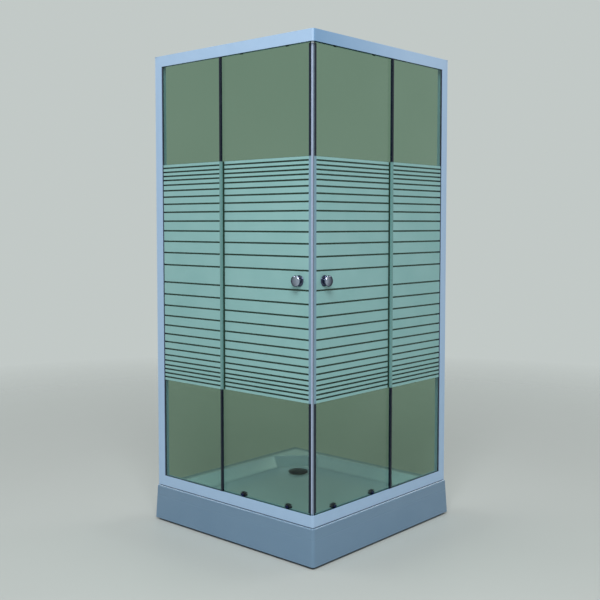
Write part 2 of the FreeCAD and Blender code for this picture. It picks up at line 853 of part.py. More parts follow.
def make_corners():
    top = make_corner("plain_top_corner", top_rail_low, frame_top, frame_top - s.rail_wall)
    bottom = make_corner("plain_bottom_corner", tray_top, bottom_rail_top, tray_top)
    made = []
    for name, body, middle in (
        ("top_corner_piece", top, top_rail_low + s.top_rail_height / 2),
        ("bottom_corner_piece", bottom, bottom_rail_top - s.bottom_rail_height / 2),
    ):
        hole = rod(name + "_hole", s.screw_radius + s.screw_clearance,
                   axis_point(rail_end - s.corner_leg_length / 2, slot_far - s.screw_grip_short, middle),
                   s.screw_grip_short, "+y")
        made.append(without(name, body, [hole, mirrored(name + "_hole_right", hole)]))
    return made


# Wall channels and posts
def make_channel():
    """The channel screwed to the room's wall, which the post slides over."""
    low = s.rail_wall + s.channel_clearance
    high = s.rail_depth - low
    body = doc.addObject("PartDesign::Body", "left_channel_body")
    sketch = sketch_on(body, "channel_section", "XY_Plane", tray_top)
    wall = s.rail_wall
    reach = s.channel_reach - half
    outline(sketch, [
        (-half, deep(low)),
        (reach, deep(low)),
        (reach, deep(low + wall)),
        (wall - half, deep(low + wall)),
        (wall - half, deep(high - wall)),
        (reach, deep(high - wall)),
        (reach, deep(high)),
        (-half, deep(high)),
    ])
    pad(body, sketch, s.frame_height - s.cap_thickness)
    middle = tray_top + s.frame_height / 2
    outer = s.frame_height / 2 - s.channel_hole_inset
    holes = []
    for index, reach in enumerate((outer, outer / 3)):
        for side, height in (("low", middle - reach), ("high", middle + reach)):
            holes.append(rod("channel_hole_%s_%d" % (side, index), s.channel_hole_radius,
                             (-half - s.overrun, deep(s.rail_depth / 2), height), wall + s.overrun * 2, "+x"))
    return without("left_channel", body, holes)


def make_post():
    """The wall post: a box section with a slot for the fixed glass, screwed to the ends of the rails."""
    body = doc.addObject("PartDesign::Body", "left_post_body")
    sketch = sketch_on(body, "post_section", "XY_Plane", tray_top)
    wall = s.rail_wall
    start = s.post_wall_gap - half
    web = post_side - s.post_slot_depth
    outline(sketch, [
        (start, deep(zero)),
        (post_side, deep(zero)),
        (post_side, deep(wall)),
        (web, deep(wall)),
        (web, deep(slot_far)),
        (post_side, deep(slot_far)),
        (post_side, deep(s.rail_depth)),
        (start, deep(s.rail_depth)),
        (start, deep(s.rail_depth - wall)),
        (post_side - wall, deep(s.rail_depth - wall)),
        (post_side - wall, deep(slot_far + wall)),
        (web - wall, deep(slot_far + wall)),
        (web - wall, deep(wall)),
        (start, deep(wall)),
    ])
    pad(body, sketch, s.frame_height - s.cap_thickness)
    holes = []
    for index, height in enumerate(end_screw_heights()):
        holes.append(rod("post_screw_hole_%d" % index, s.screw_radius + s.screw_clearance,
                         axis_point(post_side - wall - s.overrun, end_screw_depth, height), wall + s.overrun * 2, "+x"))
    return without("left_wall_post", body, holes)


end_screw_depth = slot_far + s.rail_wall + s.screw_port_setback


def end_screw_heights():
    offset = s.rail_wall + s.screw_port_radius
    return [frame_top - offset, tray_top + offset]


def make_post_cap():
    """A cap over the top of the post and the channel, with a plug in the post."""
    top = frame_top - s.cap_thickness
    wall = s.rail_wall
    clear = s.cap_plug_clearance
    lid = block("cap_lid", (-half, deep(zero), top), (post_side, deep(s.rail_depth), frame_top))
    plug = block("cap_plug", (s.channel_reach - half + clear * 2, deep(slot_far + wall + clear), top - s.cap_plug_depth),
                 (post_side - wall - clear, deep(s.rail_depth - wall - clear), top))
    screw_room = block("cap_screw_room", (post_side - wall - s.screw_head_height - clear - s.overrun,
                                          deep(end_screw_depth - s.screw_head_radius - clear), top - s.cap_plug_depth),
                       (post_side, deep(end_screw_depth + s.screw_head_radius + clear), top))
    return joined("left_post_cap", [lid, without("cap_plug_cut", plug, [screw_room])])


def make_screws():
    """Pan head screws at the rails' ends and countersunk ones in the corner pieces, for both glass sides."""
    solids = []
    for index, height in enumerate(end_screw_heights()):
        start = post_side - s.rail_wall
        shank = rod("end_shank_%d" % index, s.screw_radius, axis_point(start, end_screw_depth, height), s.screw_grip, "+x")
        head = rod("end_head_%d" % index, s.screw_head_radius,
                   axis_point(start - s.screw_head_height, end_screw_depth, height), s.screw_head_height, "+x")
        solids.append(joined("end_screw_%d" % index, [shank, head]))
    middles = (top_rail_low + s.top_rail_height / 2, bottom_rail_top - s.bottom_rail_height / 2)
    head_depth = slot_far + s.rail_wall
    for index, height in enumerate(middles):
        x = rail_end - s.corner_leg_length / 2
        shank = rod("corner_shank_%d" % index, s.screw_radius, axis_point(x, head_depth, height),
                    s.screw_grip_short, "-y")
        head = rod("corner_head_%d" % index, s.screw_head_radius, axis_point(x, head_depth, height),
                   s.screw_head_height / 2, "+y")
        solids.append(joined("corner_screw_%d" % index, [shank, head]))
    right = [mirrored(solid.Name + "_right", solid) for solid in solids]
    return group("frame_screws", solids + right)


def make_stops():
    """Rubber stops clipped on the top rails' tracks, which the top wheels meet at both ends of the travel."""
    shelf_top = top_rail_low + s.rail_wall * 2
    inner = s.rail_depth - s.rail_wall
    ridge = wheel_near + s.wheel_width / 2
    solids = []
    closed = roller_places["front"] + s.wheel_radius + s.stop_clearance
    opened = roller_places["rear"] - door_travel - s.wheel_radius - s.stop_clearance - s.stop_length
    for name, start in (("closing_stop", closed), ("opening_stop", opened)):
        bar = block(name + "_bar", axis_point(start, s.rail_depth - s.shelf_reach, shelf_top),
                    axis_point(start + s.stop_length, inner, shelf_top + s.stop_height))
        groove = block(name + "_groove", axis_point(start - s.overrun, ridge - s.track_ridge_width / 2, shelf_top),
                       axis_point(start + s.stop_length + s.overrun, ridge + s.track_ridge_width / 2,
                                  shelf_top + s.track_ridge_height))
        solids.append(without(name, bar, [groove]))
    right = [mirrored(solid.Name + "_right", solid) for solid in solids]
    return group("track_stops", solids + right)


# Glass
fixed_low = tray_top + s.rail_wall + s.gasket_base
fixed_high = frame_top - s.rail_wall - s.gasket_base
fixed_start = post_side - s.post_slot_depth + s.gasket_base


def make_fixed_glass():
    return block("left_fixed_glass", axis_point(fixed_start, fixed_near, fixed_low),
                 axis_point(fixed_edge, fixed_far, fixed_high))


def make_gasket():
    """The gasket round the fixed glass's three held edges, in the slots of the rails and, with a lip that
    shows on both faces, of the post."""
    base = s.gasket_base
    outer = block("gasket_outer", axis_point(fixed_start - base, s.rail_wall, fixed_low - base),
                  axis_point(fixed_edge, slot_far, fixed_high + base))
    glass = block("gasket_glass_room", axis_point(fixed_start, fixed_near, fixed_low),
                  axis_point(fixed_edge + s.overrun, fixed_far, fixed_high))
    window = block("gasket_window", axis_point(post_side + s.gasket_lip, s.rail_wall - s.overrun, bottom_rail_top),
                   axis_point(fixed_edge + s.overrun, slot_far + s.overrun, top_rail_low))
    return without("left_gasket", outer, [glass, window])


seal_low = bottom_rail_top + s.seal_end_gap
seal_high = top_rail_low - s.seal_end_gap


def seal_body(name, corners, low, high):
    body = doc.addObject("PartDesign::Body", name)
    sketch = outline(sketch_on(body, name + "_section", "XY_Plane", low), [(x, deep(depth)) for x, depth in corners])
    pad(body, sketch, high - low)
    return body


def make_fixed_seal():
    """The clear strip on the fixed glass's free edge, with a lip towards the door."""
    wall = s.edge_seal_wall
    start = fixed_edge - s.edge_seal_grip
    end = fixed_edge + s.edge_seal_base
    return seal_body("left_fixed_seal", [
        (start, fixed_near - wall),
        (end, fixed_near - wall),
        (end, fixed_far + s.edge_seal_lip),
        (end - s.edge_seal_base, fixed_far + s.edge_seal_lip),
        (end - s.edge_seal_base, fixed_far + wall),
        (start, fixed_far + wall),
        (start, fixed_far),
        (fixed_edge, fixed_far),
        (fixed_edge, fixed_near),
        (start, fixed_near),
    ], bottom_rail_top, top_rail_low)


def make_rear_seal():
    """The clear strip on the door's rear edge, with a lip towards the fixed glass."""
    wall = s.edge_seal_wall
    start = door_rear - s.edge_seal_base
    end = door_rear + s.edge_seal_grip
    return seal_body("left_rear_seal", [
        (start, door_near - s.edge_seal_lip),
        (door_rear, door_near - s.edge_seal_lip),
        (door_rear, door_near - wall),
        (end, door_near - wall),
        (end, door_near),
        (door_rear, door_near),
        (door_rear, door_far),
        (end, door_far),
        (end, door_far + wall),
        (start, door_far + wall),
    ], seal_low, seal_high)


def make_magnet_seal():
    """The clear strip on the door's closing edge, which holds the magnet strip."""
    wall = s.edge_seal_wall
    start = door_front - s.magnet_seal_grip
    end = door_front + s.magnet_seal_base
    return seal_body("left_magnet_seal", [
        (start, door_near - wall),
        (end, door_near - wall),
        (end, door_far + wall),
        (start, door_far + wall),
        (start, door_far),
        (door_front, door_far),
        (door_front, door_near),
        (start, door_near),
    ], seal_low, seal_high)


def make_magnet_strip():
    """The magnet strip, whose slanted face meets the other door's strip on the diagonal."""
    start = door_front + s.magnet_seal_base
    near_side = door_near + s.magnet_inset - s.edge_seal_wall
    far_side = door_far - s.magnet_inset + s.edge_seal_wall
    meet = rail_front - s.mitre_gap / 2
    return seal_body("left_magnet_strip", [
        (start, near_side),
        (meet - near_side, near_side),
        (meet - far_side, far_side),
        (start, far_side),
    ], seal_low, seal_high)


top_wheel_z = top_rail_low + s.rail_wall * 2 + s.track_ridge_height + s.wheel_track_clearance + groove_radius
bottom_wheel_z = bottom_rail_top - s.rail_wall * 2 - s.track_ridge_height - s.wheel_track_clearance - groove_radius
housing_low = bottom_rail_top + s.housing_clearance
housing_high = housing_low + s.housing_height
housing_stud_z = housing_low + s.housing_stud_height


def make_door_glass():
    panel = block("left_door_panel", axis_point(door_rear, door_near, door_low),
                  axis_point(door_front, door_far, door_high))
    holes = [rod("left_knob_hole", s.knob_hole_radius, axis_point(knob_x, door_near - s.overrun, s.knob_height),
                 s.glass_thickness + s.overrun * 2, "+y")]
    for place_name, x in roller_places.items():
        for height, label in ((top_wheel_z, "top"), (housing_stud_z, "bottom")):
            holes.append(rod("%s_%s_glass_hole" % (place_name, label), s.glass_hole_radius,
                             axis_point(x, door_near - s.overrun, height), s.glass_thickness + s.overrun * 2, "+y"))
    return without("left_door_glass", panel, holes)


# Knobs
def make_knobs():
    """The outer knob, with a stud through the glass, and the inner knob that it screws into."""
    made = []
    rim = s.knob_length - s.knob_rim_length
    for name, inward in (("left_outer_knob", False), ("left_inner_knob", True)):
        body = doc.addObject("PartDesign::Body", name + "_body")
        sketch = outline(sketch_on(body, name + "_profile", "XZ_Plane"), [
            (zero, zero),
            (s.knob_base_radius, zero),
            (s.knob_base_radius, s.knob_base_rim),
            (s.knob_waist_radius, s.knob_base_length),
            (s.knob_waist_radius, rim - s.knob_base_length / 2),
            (s.knob_radius - s.knob_edge_round, rim),
            (s.knob_radius, rim + s.knob_edge_round),
            (s.knob_radius, s.knob_length - s.knob_edge_round),
            (s.knob_radius - s.knob_edge_round, s.knob_length),
            (zero, s.knob_length),
        ])
        revolve(body, sketch)
        face = door_far if inward else door_near
        turn = ALONG["+y"] if inward else ALONG["-y"]
        place(body, *axis_point(knob_x, face, s.knob_height), turn)
        stud_reach = s.glass_thickness + s.knob_base_length
        if inward:
            bore = rod("inner_knob_bore", s.knob_stud_radius + s.knob_stud_clearance,
                       axis_point(knob_x, door_far, s.knob_height), s.knob_base_length + s.overrun, "+y")
            made.append(without(name, body, [bore]))
        else:
            stud = rod("knob_stud", s.knob_stud_radius, axis_point(knob_x, door_near, s.knob_height),
                       stud_reach, "+y")
            made.append(joined(name, [body, stud]))
    return made


# Rollers
def axle(name, x, z):
    """An axle pin on a plate, with a head that keeps the wheel on."""
    pin = rod(name + "_pin", s.axle_radius, axis_point(x, plate_far - s.plate_thickness / 2, z),
              axle_end - plate_far + s.plate_thickness / 2, "+y")
    head = rod(name + "_head", s.axle_head_radius, axis_point(x, axle_end - s.axle_head_length, z),
               s.axle_head_length, "+y")
    return [pin, head]


def make_wheel(name, x, z):
    body = doc.addObject("PartDesign::Body", name)
    sketch = sketch_on(body, name + "_profile", "XZ_Plane")
    middle = s.wheel_width / 2
    groove = s.wheel_groove_width / 2
    bore = s.axle_radius + s.axle_clearance
    outline(sketch, [
        (bore, zero),
        (s.wheel_radius, zero),
        (s.wheel_radius, middle - groove * 3 / 2),
        (groove_radius, middle - groove),
        (groove_radius, middle + groove),
        (s.wheel_radius, middle + groove * 3 / 2),
        (s.wheel_radius, s.wheel_width),
        (bore, s.wheel_width),
    ])
    revolve(body, sketch)
    place(body, *axis_point(x, wheel_near, z), ALONG["+y"])
    return body


def make_hanger(place_name, x):
    """A top hanger: a plate behind the glass with a stud through it and an axle for the wheel."""
    low = top_rail_low - s.hanger_overhang
    plate = block("%s_hanger_plate" % place_name, axis_point(x - s.hanger_width / 2, plate_near, low),
                  axis_point(x + s.hanger_width / 2, plate_far, top_wheel_z + s.hanger_rise))
    stud = rod("%s_hanger_stud" % place_name, s.stud_radius, axis_point(x, door_near + s.stud_end_gap, top_wheel_z),
               plate_far - door_near - s.stud_end_gap, "+y")
    return joined("%s_hanger" % place_name, [plate, stud] + axle("%s_hanger_axle" % place_name, x, top_wheel_z))


def make_cap(name, x, z):
    """A cap nut outside the glass, whose shoulder fills the hole and takes the stud."""
    disc = rod(name + "_disc", s.roller_cap_radius, axis_point(x, door_near - s.roller_cap_thickness, z),
               s.roller_cap_thickness, "+y")
    shoulder = rod(name + "_shoulder", s.glass_hole_radius - s.roller_cap_clearance, axis_point(x, door_near, z),
                   s.glass_thickness - s.roller_cap_clearance, "+y")
    bore = rod(name + "_bore", s.stud_radius + s.roller_cap_clearance,
               axis_point(x, door_near + s.stud_end_gap - s.roller_cap_clearance, z), s.glass_thickness, "+y")
    return without(name, joined(name + "_solid", [disc, shoulder]), [bore])


slot_edge = s.carriage_slot_radius


def make_housing(place_name, x):
    """A bottom housing behind the glass: it guides the sprung carriage and holds its spring."""
    body = doc.addObject("PartDesign::Body", "%s_housing_body" % place_name)
    width = s.housing_width / 2
    sketch = outline(sketch_on(body, "%s_housing_outline" % place_name, "XY_Plane", housing_low), [
        (x - width, deep(door_far)),
        (x + width, deep(door_far)),
        (x + width, deep(door_far + s.housing_depth)),
        (x - width, deep(door_far + s.housing_depth)),
    ])
    pad(body, sketch, s.housing_height)
    back = deep(door_far + s.housing_depth).value
    round_edges(body, "%s_housing_round" % place_name, s.housing_corner_round, lambda edge: (
        near(centre_of(edge).y, back) and edge.BoundBox.ZLength > s.housing_height.value - 1))
    clear = s.plate_gap
    guide = block("%s_guide" % place_name,
                  axis_point(x - s.carriage_width / 2 - clear, door_far - s.overrun, housing_low - s.overrun),
                  axis_point(x + s.carriage_width / 2 + clear, plate_far + clear, housing_high + s.overrun))
    spring_x = x + s.spring_offset
    seat = rod("%s_spring_pocket" % place_name, s.spring_radius + s.spring_wire_radius + s.spring_pocket_clearance,
               axis_point(spring_x, spring_depth, housing_high - s.spring_pocket_depth),
               s.spring_pocket_depth + s.overrun)
    stud = rod("%s_housing_stud" % place_name, s.stud_radius,
               axis_point(x, door_near + s.stud_end_gap, housing_stud_z),
               plate_far + clear * 2 - door_near - s.stud_end_gap, "+y")
    return joined("%s_housing" % place_name, [without("%s_housing_cut" % place_name, body, [guide, seat]), stud])


spring_depth = door_far + s.housing_depth / 2


def make_carriage(place_name, x):
    """A sprung carriage: a plate with the wheel's axle below and the release lever above."""
    half_width = s.carriage_width / 2
    lever_low = housing_high + s.release_travel + s.lever_gap
    low = bottom_wheel_z - s.axle_head_radius * 2
    plate = block("%s_carriage_plate" % place_name, axis_point(x - half_width, plate_near, low),
                  axis_point(x + half_width, plate_far, lever_low + s.lever_low_height))
    slot_low = rod("%s_slot_low" % place_name, slot_edge, axis_point(x, plate_near - s.overrun, housing_stud_z),
                   s.plate_thickness + s.overrun * 2, "+y")
    slot_high = rod("%s_slot_high" % place_name, slot_edge,
                    axis_point(x, plate_near - s.overrun, housing_stud_z + s.release_travel),
                    s.plate_thickness + s.overrun * 2, "+y")
    slot_middle = block("%s_slot_middle" % place_name, axis_point(x - slot_edge, plate_near - s.overrun, housing_stud_z),
                        axis_point(x + slot_edge, plate_far + s.overrun, housing_stud_z + s.release_travel))
    slotted = without("%s_carriage_slotted" % place_name, plate, [slot_low, slot_high, slot_middle])
    lever = doc.addObject("PartDesign::Body", "%s_lever" % place_name)
    lever_half = s.lever_width / 2
    sketch = outline(sketch_on(lever, "%s_lever_profile" % place_name, "XZ_Plane", rail_front - plate_near), [
        (x - lever_half, lever_low),
        (x + lever_half, lever_low),
        (x + lever_half, lever_low + s.lever_low_height),
        (x - lever_half + s.lever_peak_inset + s.lever_peak_width, lever_low + s.lever_peak_height),
        (x - lever_half + s.lever_peak_inset, lever_low + s.lever_peak_height),
        (x - lever_half, lever_low + s.lever_low_height),
    ])
    pad(lever, sketch, door_far + s.housing_depth - plate_near, reverse=True)
    return joined("%s_carriage" % place_name, [slotted, lever] + axle("%s_carriage_axle" % place_name, x, bottom_wheel_z))


def make_spring(place_name, x):
    """The carriage's compression spring, from the floor of its pocket to the lever."""
    low = housing_high - s.spring_pocket_depth
    length = s.spring_pocket_depth + s.release_travel + s.lever_gap - s.spring_wire_radius * 2 - s.side_clearance * 2
    helix = doc.addObject("Part::Helix", "%s_spring_line" % place_name)
    bind(helix, "Pitch", length / s.spring_turns)
    bind(helix, "Height", length)
    bind(helix, "Radius", s.spring_radius)
    start = axis_point(x + s.spring_offset, spring_depth, low + s.spring_wire_radius + s.side_clearance)
    place(helix, *start)
    wire = doc.addObject("Part::Circle", "%s_spring_wire" % place_name)
    bind(wire, "Radius", s.spring_wire_radius)
    place(wire, start[0] + s.spring_radius, start[1], start[2], ALONG["+y"])
    coil = doc.addObject("Part::Sweep", "%s_spring" % place_name)
    coil.Sections = [wire]
    coil.Spine = (helix, ["Edge1"])
    coil.Solid = True
    coil.Frenet = True
    return coil


def make_door():
    """Every piece of the left door, each under its own name."""
    outer_knob, inner_knob = make_knobs()
    hangers = []
    housings = []
    caps = []
    pieces = {
        "door_glass": make_door_glass(),
        "magnet_seal": make_magnet_seal(),
        "magnet_strip": make_magnet_strip(),
        "rear_seal": make_rear_seal(),
        "outer_knob": outer_knob,
        "inner_knob": inner_knob,
    }
    for place_name, x in roller_places.items():
        hangers.append(make_hanger(place_name, x))
        housings.append(make_housing(place_name, x))
        caps.append(make_cap("%s_top_cap" % place_name, x, top_wheel_z))
        caps.append(make_cap("%s_bottom_cap" % place_name, x, housing_stud_z))
        pieces[place_name + "_carriage"] = make_carriage(place_name, x)
        pieces[place_name + "_spring"] = make_spring(place_name, x)
        pieces[place_name + "_top_wheel"] = make_wheel(place_name + "_top_wheel_body", x, top_wheel_z)
        pieces[place_name + "_bottom_wheel"] = make_wheel(place_name + "_bottom_wheel_body", x, bottom_wheel_z)
    pieces["top_hangers"] = group("left_hanger_pair", hangers)
    pieces["bottom_housings"] = group("left_housing_pair", housings)
    pieces["roller_caps"] = group("left_cap_set", caps)
    return pieces


def build():
    """Make every node and hand back its object by node name."""
    nodes = {"shower_tray": make_tray(), "tray_base_board": make_board()}
    nodes["foot_sockets"], nodes["foot_legs"], nodes["foot_nuts"] = make_feet()
    nodes["drain_flange"], nodes["drain_seals"], nodes["drain_trap"] = make_drain()
    nodes["drain_cup"] = make_cup()
    nodes["drain_cover"] = make_cover()
    for name in ("drain_flange", "drain_seals", "drain_trap", "drain_cup", "drain_cover"):
        place(nodes[name], drain_x, drain_y, zero)
    channel = make_channel()
    nodes["wall_channels"] = group("wall_channels", [channel, mirrored("right_channel", channel)])
    cap = make_post_cap()
    nodes["post_caps"] = group("post_caps", [cap, mirrored("right_post_cap", cap)])
    top_rail, bottom_rail = make_rails()
    left = {"wall_post": make_post(), "top_rail": top_rail, "bottom_rail": bottom_rail,
            "fixed_glass": make_fixed_glass()}
    nodes["top_corner_piece"], nodes["bottom_corner_piece"] = make_corners()
    nodes["frame_screws"] = make_screws()
    nodes["track_stops"] = make_stops()
    gasket = make_gasket()
    nodes["fixed_glass_gaskets"] = group("fixed_glass_gaskets", [gasket, mirrored("right_gasket", gasket)])
    seal = make_fixed_seal()
    nodes["fixed_edge_seals"] = group("fixed_edge_seals", [seal, mirrored("right_fixed_seal", seal)])
    left.update(make_door())
    for name, piece in left.items():
        nodes["left_" + name] = piece
        nodes["right_" + name] = mirrored("right_" + name, piece)
    return nodes


def export(nodes):
    """Check every object and every shape, then write one file for each node."""
    doc.recompute()
    for item in doc.Objects:
        if "Invalid" in item.State or "Error" in item.State:
            raise ValueError("%s failed: %s" % (item.Name, item.State))
    for name, item in nodes.items():
        item.Label = name
        if item.Shape.isNull() or not item.Shape.isValid() or not item.Shape.Solids:
            raise ValueError(name + " has no valid solid")
    os.makedirs("parts", exist_ok=True)
    for name, item in nodes.items():
        item.Shape.exportStep("parts/%s.step" % name)
    print("%d nodes written" % len(nodes))


export(build())
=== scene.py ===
"""Looks of the square corner shower enclosure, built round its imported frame."""

import json
import math

import bmesh
import bpy
from mathutils import Matrix, Vector


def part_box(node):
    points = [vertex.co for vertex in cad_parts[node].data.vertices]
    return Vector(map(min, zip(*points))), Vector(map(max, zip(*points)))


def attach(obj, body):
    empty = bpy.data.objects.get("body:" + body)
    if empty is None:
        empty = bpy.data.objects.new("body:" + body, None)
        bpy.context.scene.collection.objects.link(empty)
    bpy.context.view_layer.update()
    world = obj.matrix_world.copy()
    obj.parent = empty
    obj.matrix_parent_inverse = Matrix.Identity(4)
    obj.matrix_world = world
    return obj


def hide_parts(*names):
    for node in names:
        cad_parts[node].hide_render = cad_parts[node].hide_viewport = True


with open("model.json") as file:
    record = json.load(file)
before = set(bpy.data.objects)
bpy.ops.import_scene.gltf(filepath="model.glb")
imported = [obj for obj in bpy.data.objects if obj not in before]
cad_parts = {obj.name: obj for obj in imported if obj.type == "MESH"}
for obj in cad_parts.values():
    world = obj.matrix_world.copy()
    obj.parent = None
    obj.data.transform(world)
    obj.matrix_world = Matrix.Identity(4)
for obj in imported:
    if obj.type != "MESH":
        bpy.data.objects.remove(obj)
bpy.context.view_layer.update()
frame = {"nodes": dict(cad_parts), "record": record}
nodes = frame["nodes"]

MM = 0.001
BODIES = frame["record"]["behaviour"]["bodies"]
BODY_OF = {node: body for body, members in BODIES.items() for node in members}
SLOT_OF = {entry["node"]: entry["material_slot"] for entry in frame["record"]["subparts"]}

# The left glass side faces -Y, and the right one is its mirror image across the diagonal through the
# front corner
SIDES = ("left", "right")
TO_RIGHT = Matrix(((0, -1, 0, 0), (-1, 0, 0, 0), (0, 0, 1, 0), (0, 0, 0, 1)))
OUTWARDS = Matrix.Rotation(math.radians(90), 4, "X")    # Z to -Y, out of the left glass side
INWARDS = Matrix.Rotation(math.radians(-90), 4, "X")    # Z to +Y, into the shower
ACROSS = Matrix.Rotation(math.radians(90), 4, "Y")      # Z to +X, out of the right glass side

# Frosted bands: half of the middle band, then the pitch of each line outwards, and the clear line's width
BAND_MIDDLE_Z = 1.0542
MIDDLE_BAND_HALF = 33 * MM
LINE_COUNT = 14
FIRST_PITCH = 50.5 * MM
PITCH_STEP = 3.45 * MM
LEAST_PITCH = 16.9 * MM
CLEAR_LINE = 6.6 * MM
PRINT_DEPTH = 0.12 * MM
PRINT_GAP = 0.06 * MM
FIXED_BAND_ENDS = (13.5 * MM, 7.6 * MM)    # short of the panel's wall end, and of its free end
DOOR_BAND_ENDS = (22.5 * MM, 6.1 * MM)     # short of the door's rear end, and of its closing end

BASIN_FLOOR = 97.5 * MM

# Turned pieces, as corners of radius and height in millimetres
KNOB = ((0, 0), (20.9, 0), (20.9, 2.6), (17, 5.4), (11, 7.4), (9.5, 10.5), (11, 14.5), (17.2, 18.2),
        (21, 20.8), (21, 23.2), (19.6, 25.4), (16.5, 27), (12, 28.2), (6.5, 28.8), (0, 29))
ROLLER_CAP_RADIUS = 6
ROLLER_CAP = ((0, -4), (4.4, -4), (4.4, 0), (ROLLER_CAP_RADIUS, 0), (ROLLER_CAP_RADIUS, 0.9), (5, 1.9),
              (2.3, 2.2), (1.9, 1.4), (0, 1.4))
WHEEL = ((1.55, -1.6), (4, -1.6), (4, -1.1), (7.6, -1.1), (7.6, -1.6), (12, -1.6), (12, -1.35), (9.5, -0.9),
         (9.5, 0.9), (12, 1.35), (12, 1.6), (7.6, 1.6), (7.6, 1.1), (4, 1.1), (4, 1.6), (1.55, 1.6),
         (1.55, -1.6))
DRAIN_FLANGE = ((28.5, 20), (44.5, 20), (45.5, 17.6), (31.5, 17.5), (31.5, 0), (24, 0), (24, 3), (28.5, 3),
                (28.5, 20))
DRAIN_COVER_HEIGHT = 8
DRAIN_COVER = ((46, 0), (46, 1.2), (42, 3), (32, 6.2), (25, 7.6), (14, DRAIN_COVER_HEIGHT),
               (0, DRAIN_COVER_HEIGHT), (0, 6.6), (14, 6.6), (24, 6.2), (31, 4.8), (41, 1.6), (43, 0),
               (46, 0))

# Legs of the drain cover: how far out the post and its bracket reach, and how they meet the cover
LEG_HALF_WIDTH = 4 * MM
LEG_POST = (25 * MM, 28.2 * MM)
LEG_BRACKET = (26.5 * MM, 36.5 * MM)
LEG_BRACKET_DROP = 4 * MM
LEG_INTO_COVER = 2 * MM

# Eased edges of the frame's own pieces, in millimetres; the tray's rounds are in its solid
EASED = {
    "shower_tray": 0, "tray_base_board": 0.8, "foot_sockets": 0.6, "foot_legs": 0.4, "foot_nuts": 0.5,
    "drain_trap": 0.5, "drain_cup": 0.4, "post_caps": 0.4, "wall_channels": 0.2, "frame_screws": 0.3,
    "track_stops": 0.5, "top_corner_piece": 0.45, "bottom_corner_piece": 0.45,
}
EASED_PER_SIDE = {
    "wall_post": 0.6, "top_rail": 0.6, "bottom_rail": 0.9, "top_hangers": 0.3, "bottom_housings": 0.8,
    "front_carriage": 0.4, "rear_carriage": 0.4, "magnet_strip": 0.3,
}
EASE_LEAST_ANGLE = 28
UPPER_COIL_SHARE = 0.62    # the upper coil's width as a share of the lower one's

# Dark bead under the bottom rails: painted shadow along the gap where they sit on the tray
BEAD_PROUD = 0.6 * MM
BEAD_INSIDE = 3 * MM
BEAD_BELOW = 0.2 * MM
BEAD_RISE = 1.8 * MM
BEAD_BEND = 10.6 * MM

# Studio
BACKDROP = (0.54, 0.585, 0.57)
FLOOR_COLOUR = (0.46, 0.495, 0.48)
FLOOR_RADIUS = 9
FLOOR_FADE = (1.6, 5.0)
SOFT_LIGHT = 0.3
LAMPS = {
    # lamp: place, aim, size, power
    "left_softbox": ((-5.6, -3.6, 5.0), (0, 0, 1.4), (4.4, 0.9), 80),
    "front_softbox": ((2.6, -3.1, 4.6), (0, 0, 0.8), (2.2, 2.2), 190),
    "right_softbox": ((3.4, 6.6, 5.0), (0, 0, 1.4), (3.6, 0.9), 75),
    "top_softbox": ((0.1, -0.1, 5.2), (0.05, 0, 0), (2.4, 2.4), 90),
}
EYE = (2.5875, -2.9216, 1.2607)
EYE_TILT = 90 - 3.42
EYE_TURN = 41.71
SENSOR_WIDTH = 36
LENS = 55.083
LENS_SHIFT = -0.03552
SIGHT_END = 60

# Pairs of tones that a finish wanders between
PAINT = ((0.395, 0.58, 0.82), (0.41, 0.595, 0.835))
# Knob drum tones: chrome dimmed with painted reflection of a dim room
KNOB_DRUM_PAINTED_REFLECTION = ((0.40, 0.45, 0.56), (0.46, 0.51, 0.62))
# Painted shade: the skirt is the basin's white acrylic, darkened
TRAY_SKIRT_PAINTED_SHADE = ((0.140, 0.250, 0.378), (0.158, 0.272, 0.402))
BASIN_WALLS = ((0.62, 0.76, 0.96), (0.66, 0.80, 0.98))
# Painted shade: the basin's floor, darker than its walls
BASIN_FLOOR_PAINTED_SHADE = ((0.425, 0.545, 0.71), (0.45, 0.57, 0.735))
BOARD_FLAKES = ((0.36, 0.24, 0.13), (0.56, 0.42, 0.26))
# The glass's own green-grey cast, deepened with painted shade
CLEAR_GLASS = ((0.245, 0.372, 0.27), (0.265, 0.392, 0.29))
FROST = ((0.305, 0.585, 0.58), (0.34, 0.62, 0.615))

# Single tones
# Painted shade on the white paint of the top corner and right top rail, right of the fold
PAINTED_SHADE_RIGHT_OF_FOLD = (0.19, 0.36, 0.585)
# Painted reflection of a dim room: the knob's navy foot, and its near-black outline where the chrome turns
# away from the eye
KNOB_FOOT_PAINTED_REFLECTION = (0.075, 0.09, 0.15)
KNOB_OUTLINE_PAINTED_REFLECTION = (0.010, 0.014, 0.045)
# Painted shade in the clear lines between the frosted bands
PAINTED_SHADE_BETWEEN_BANDS = (0.03, 0.065, 0.048)

# Where one tone gives way to another, as the start and the end of the change
# Where the knob's painted dark reflection on its foot gives way to the drum's tone
KNOB_DRUM_FROM = (15 * MM, 20 * MM)       # off the middle of the door's glass
# Where the painted shade starts past the fold, and how it fades back to the plain paint towards the wall
PAINTED_SHADE_FROM = (0, 6 * MM)             # past the fold of the top corner
PAINTED_SHADE_FADES = (0.03, 0.62)
# Where the skirt's painted shade takes over
SKIRT_SHADE_FROM = (0.40, 0.425)                # out from the middle of the tray
BASIN_WALLS_FROM = (BASIN_FLOOR + 1.5 * MM, BASIN_FLOOR + 10 * MM)
BAND_TONE_REACH = 2 * MM                  # either side of the outermost edge of the bands

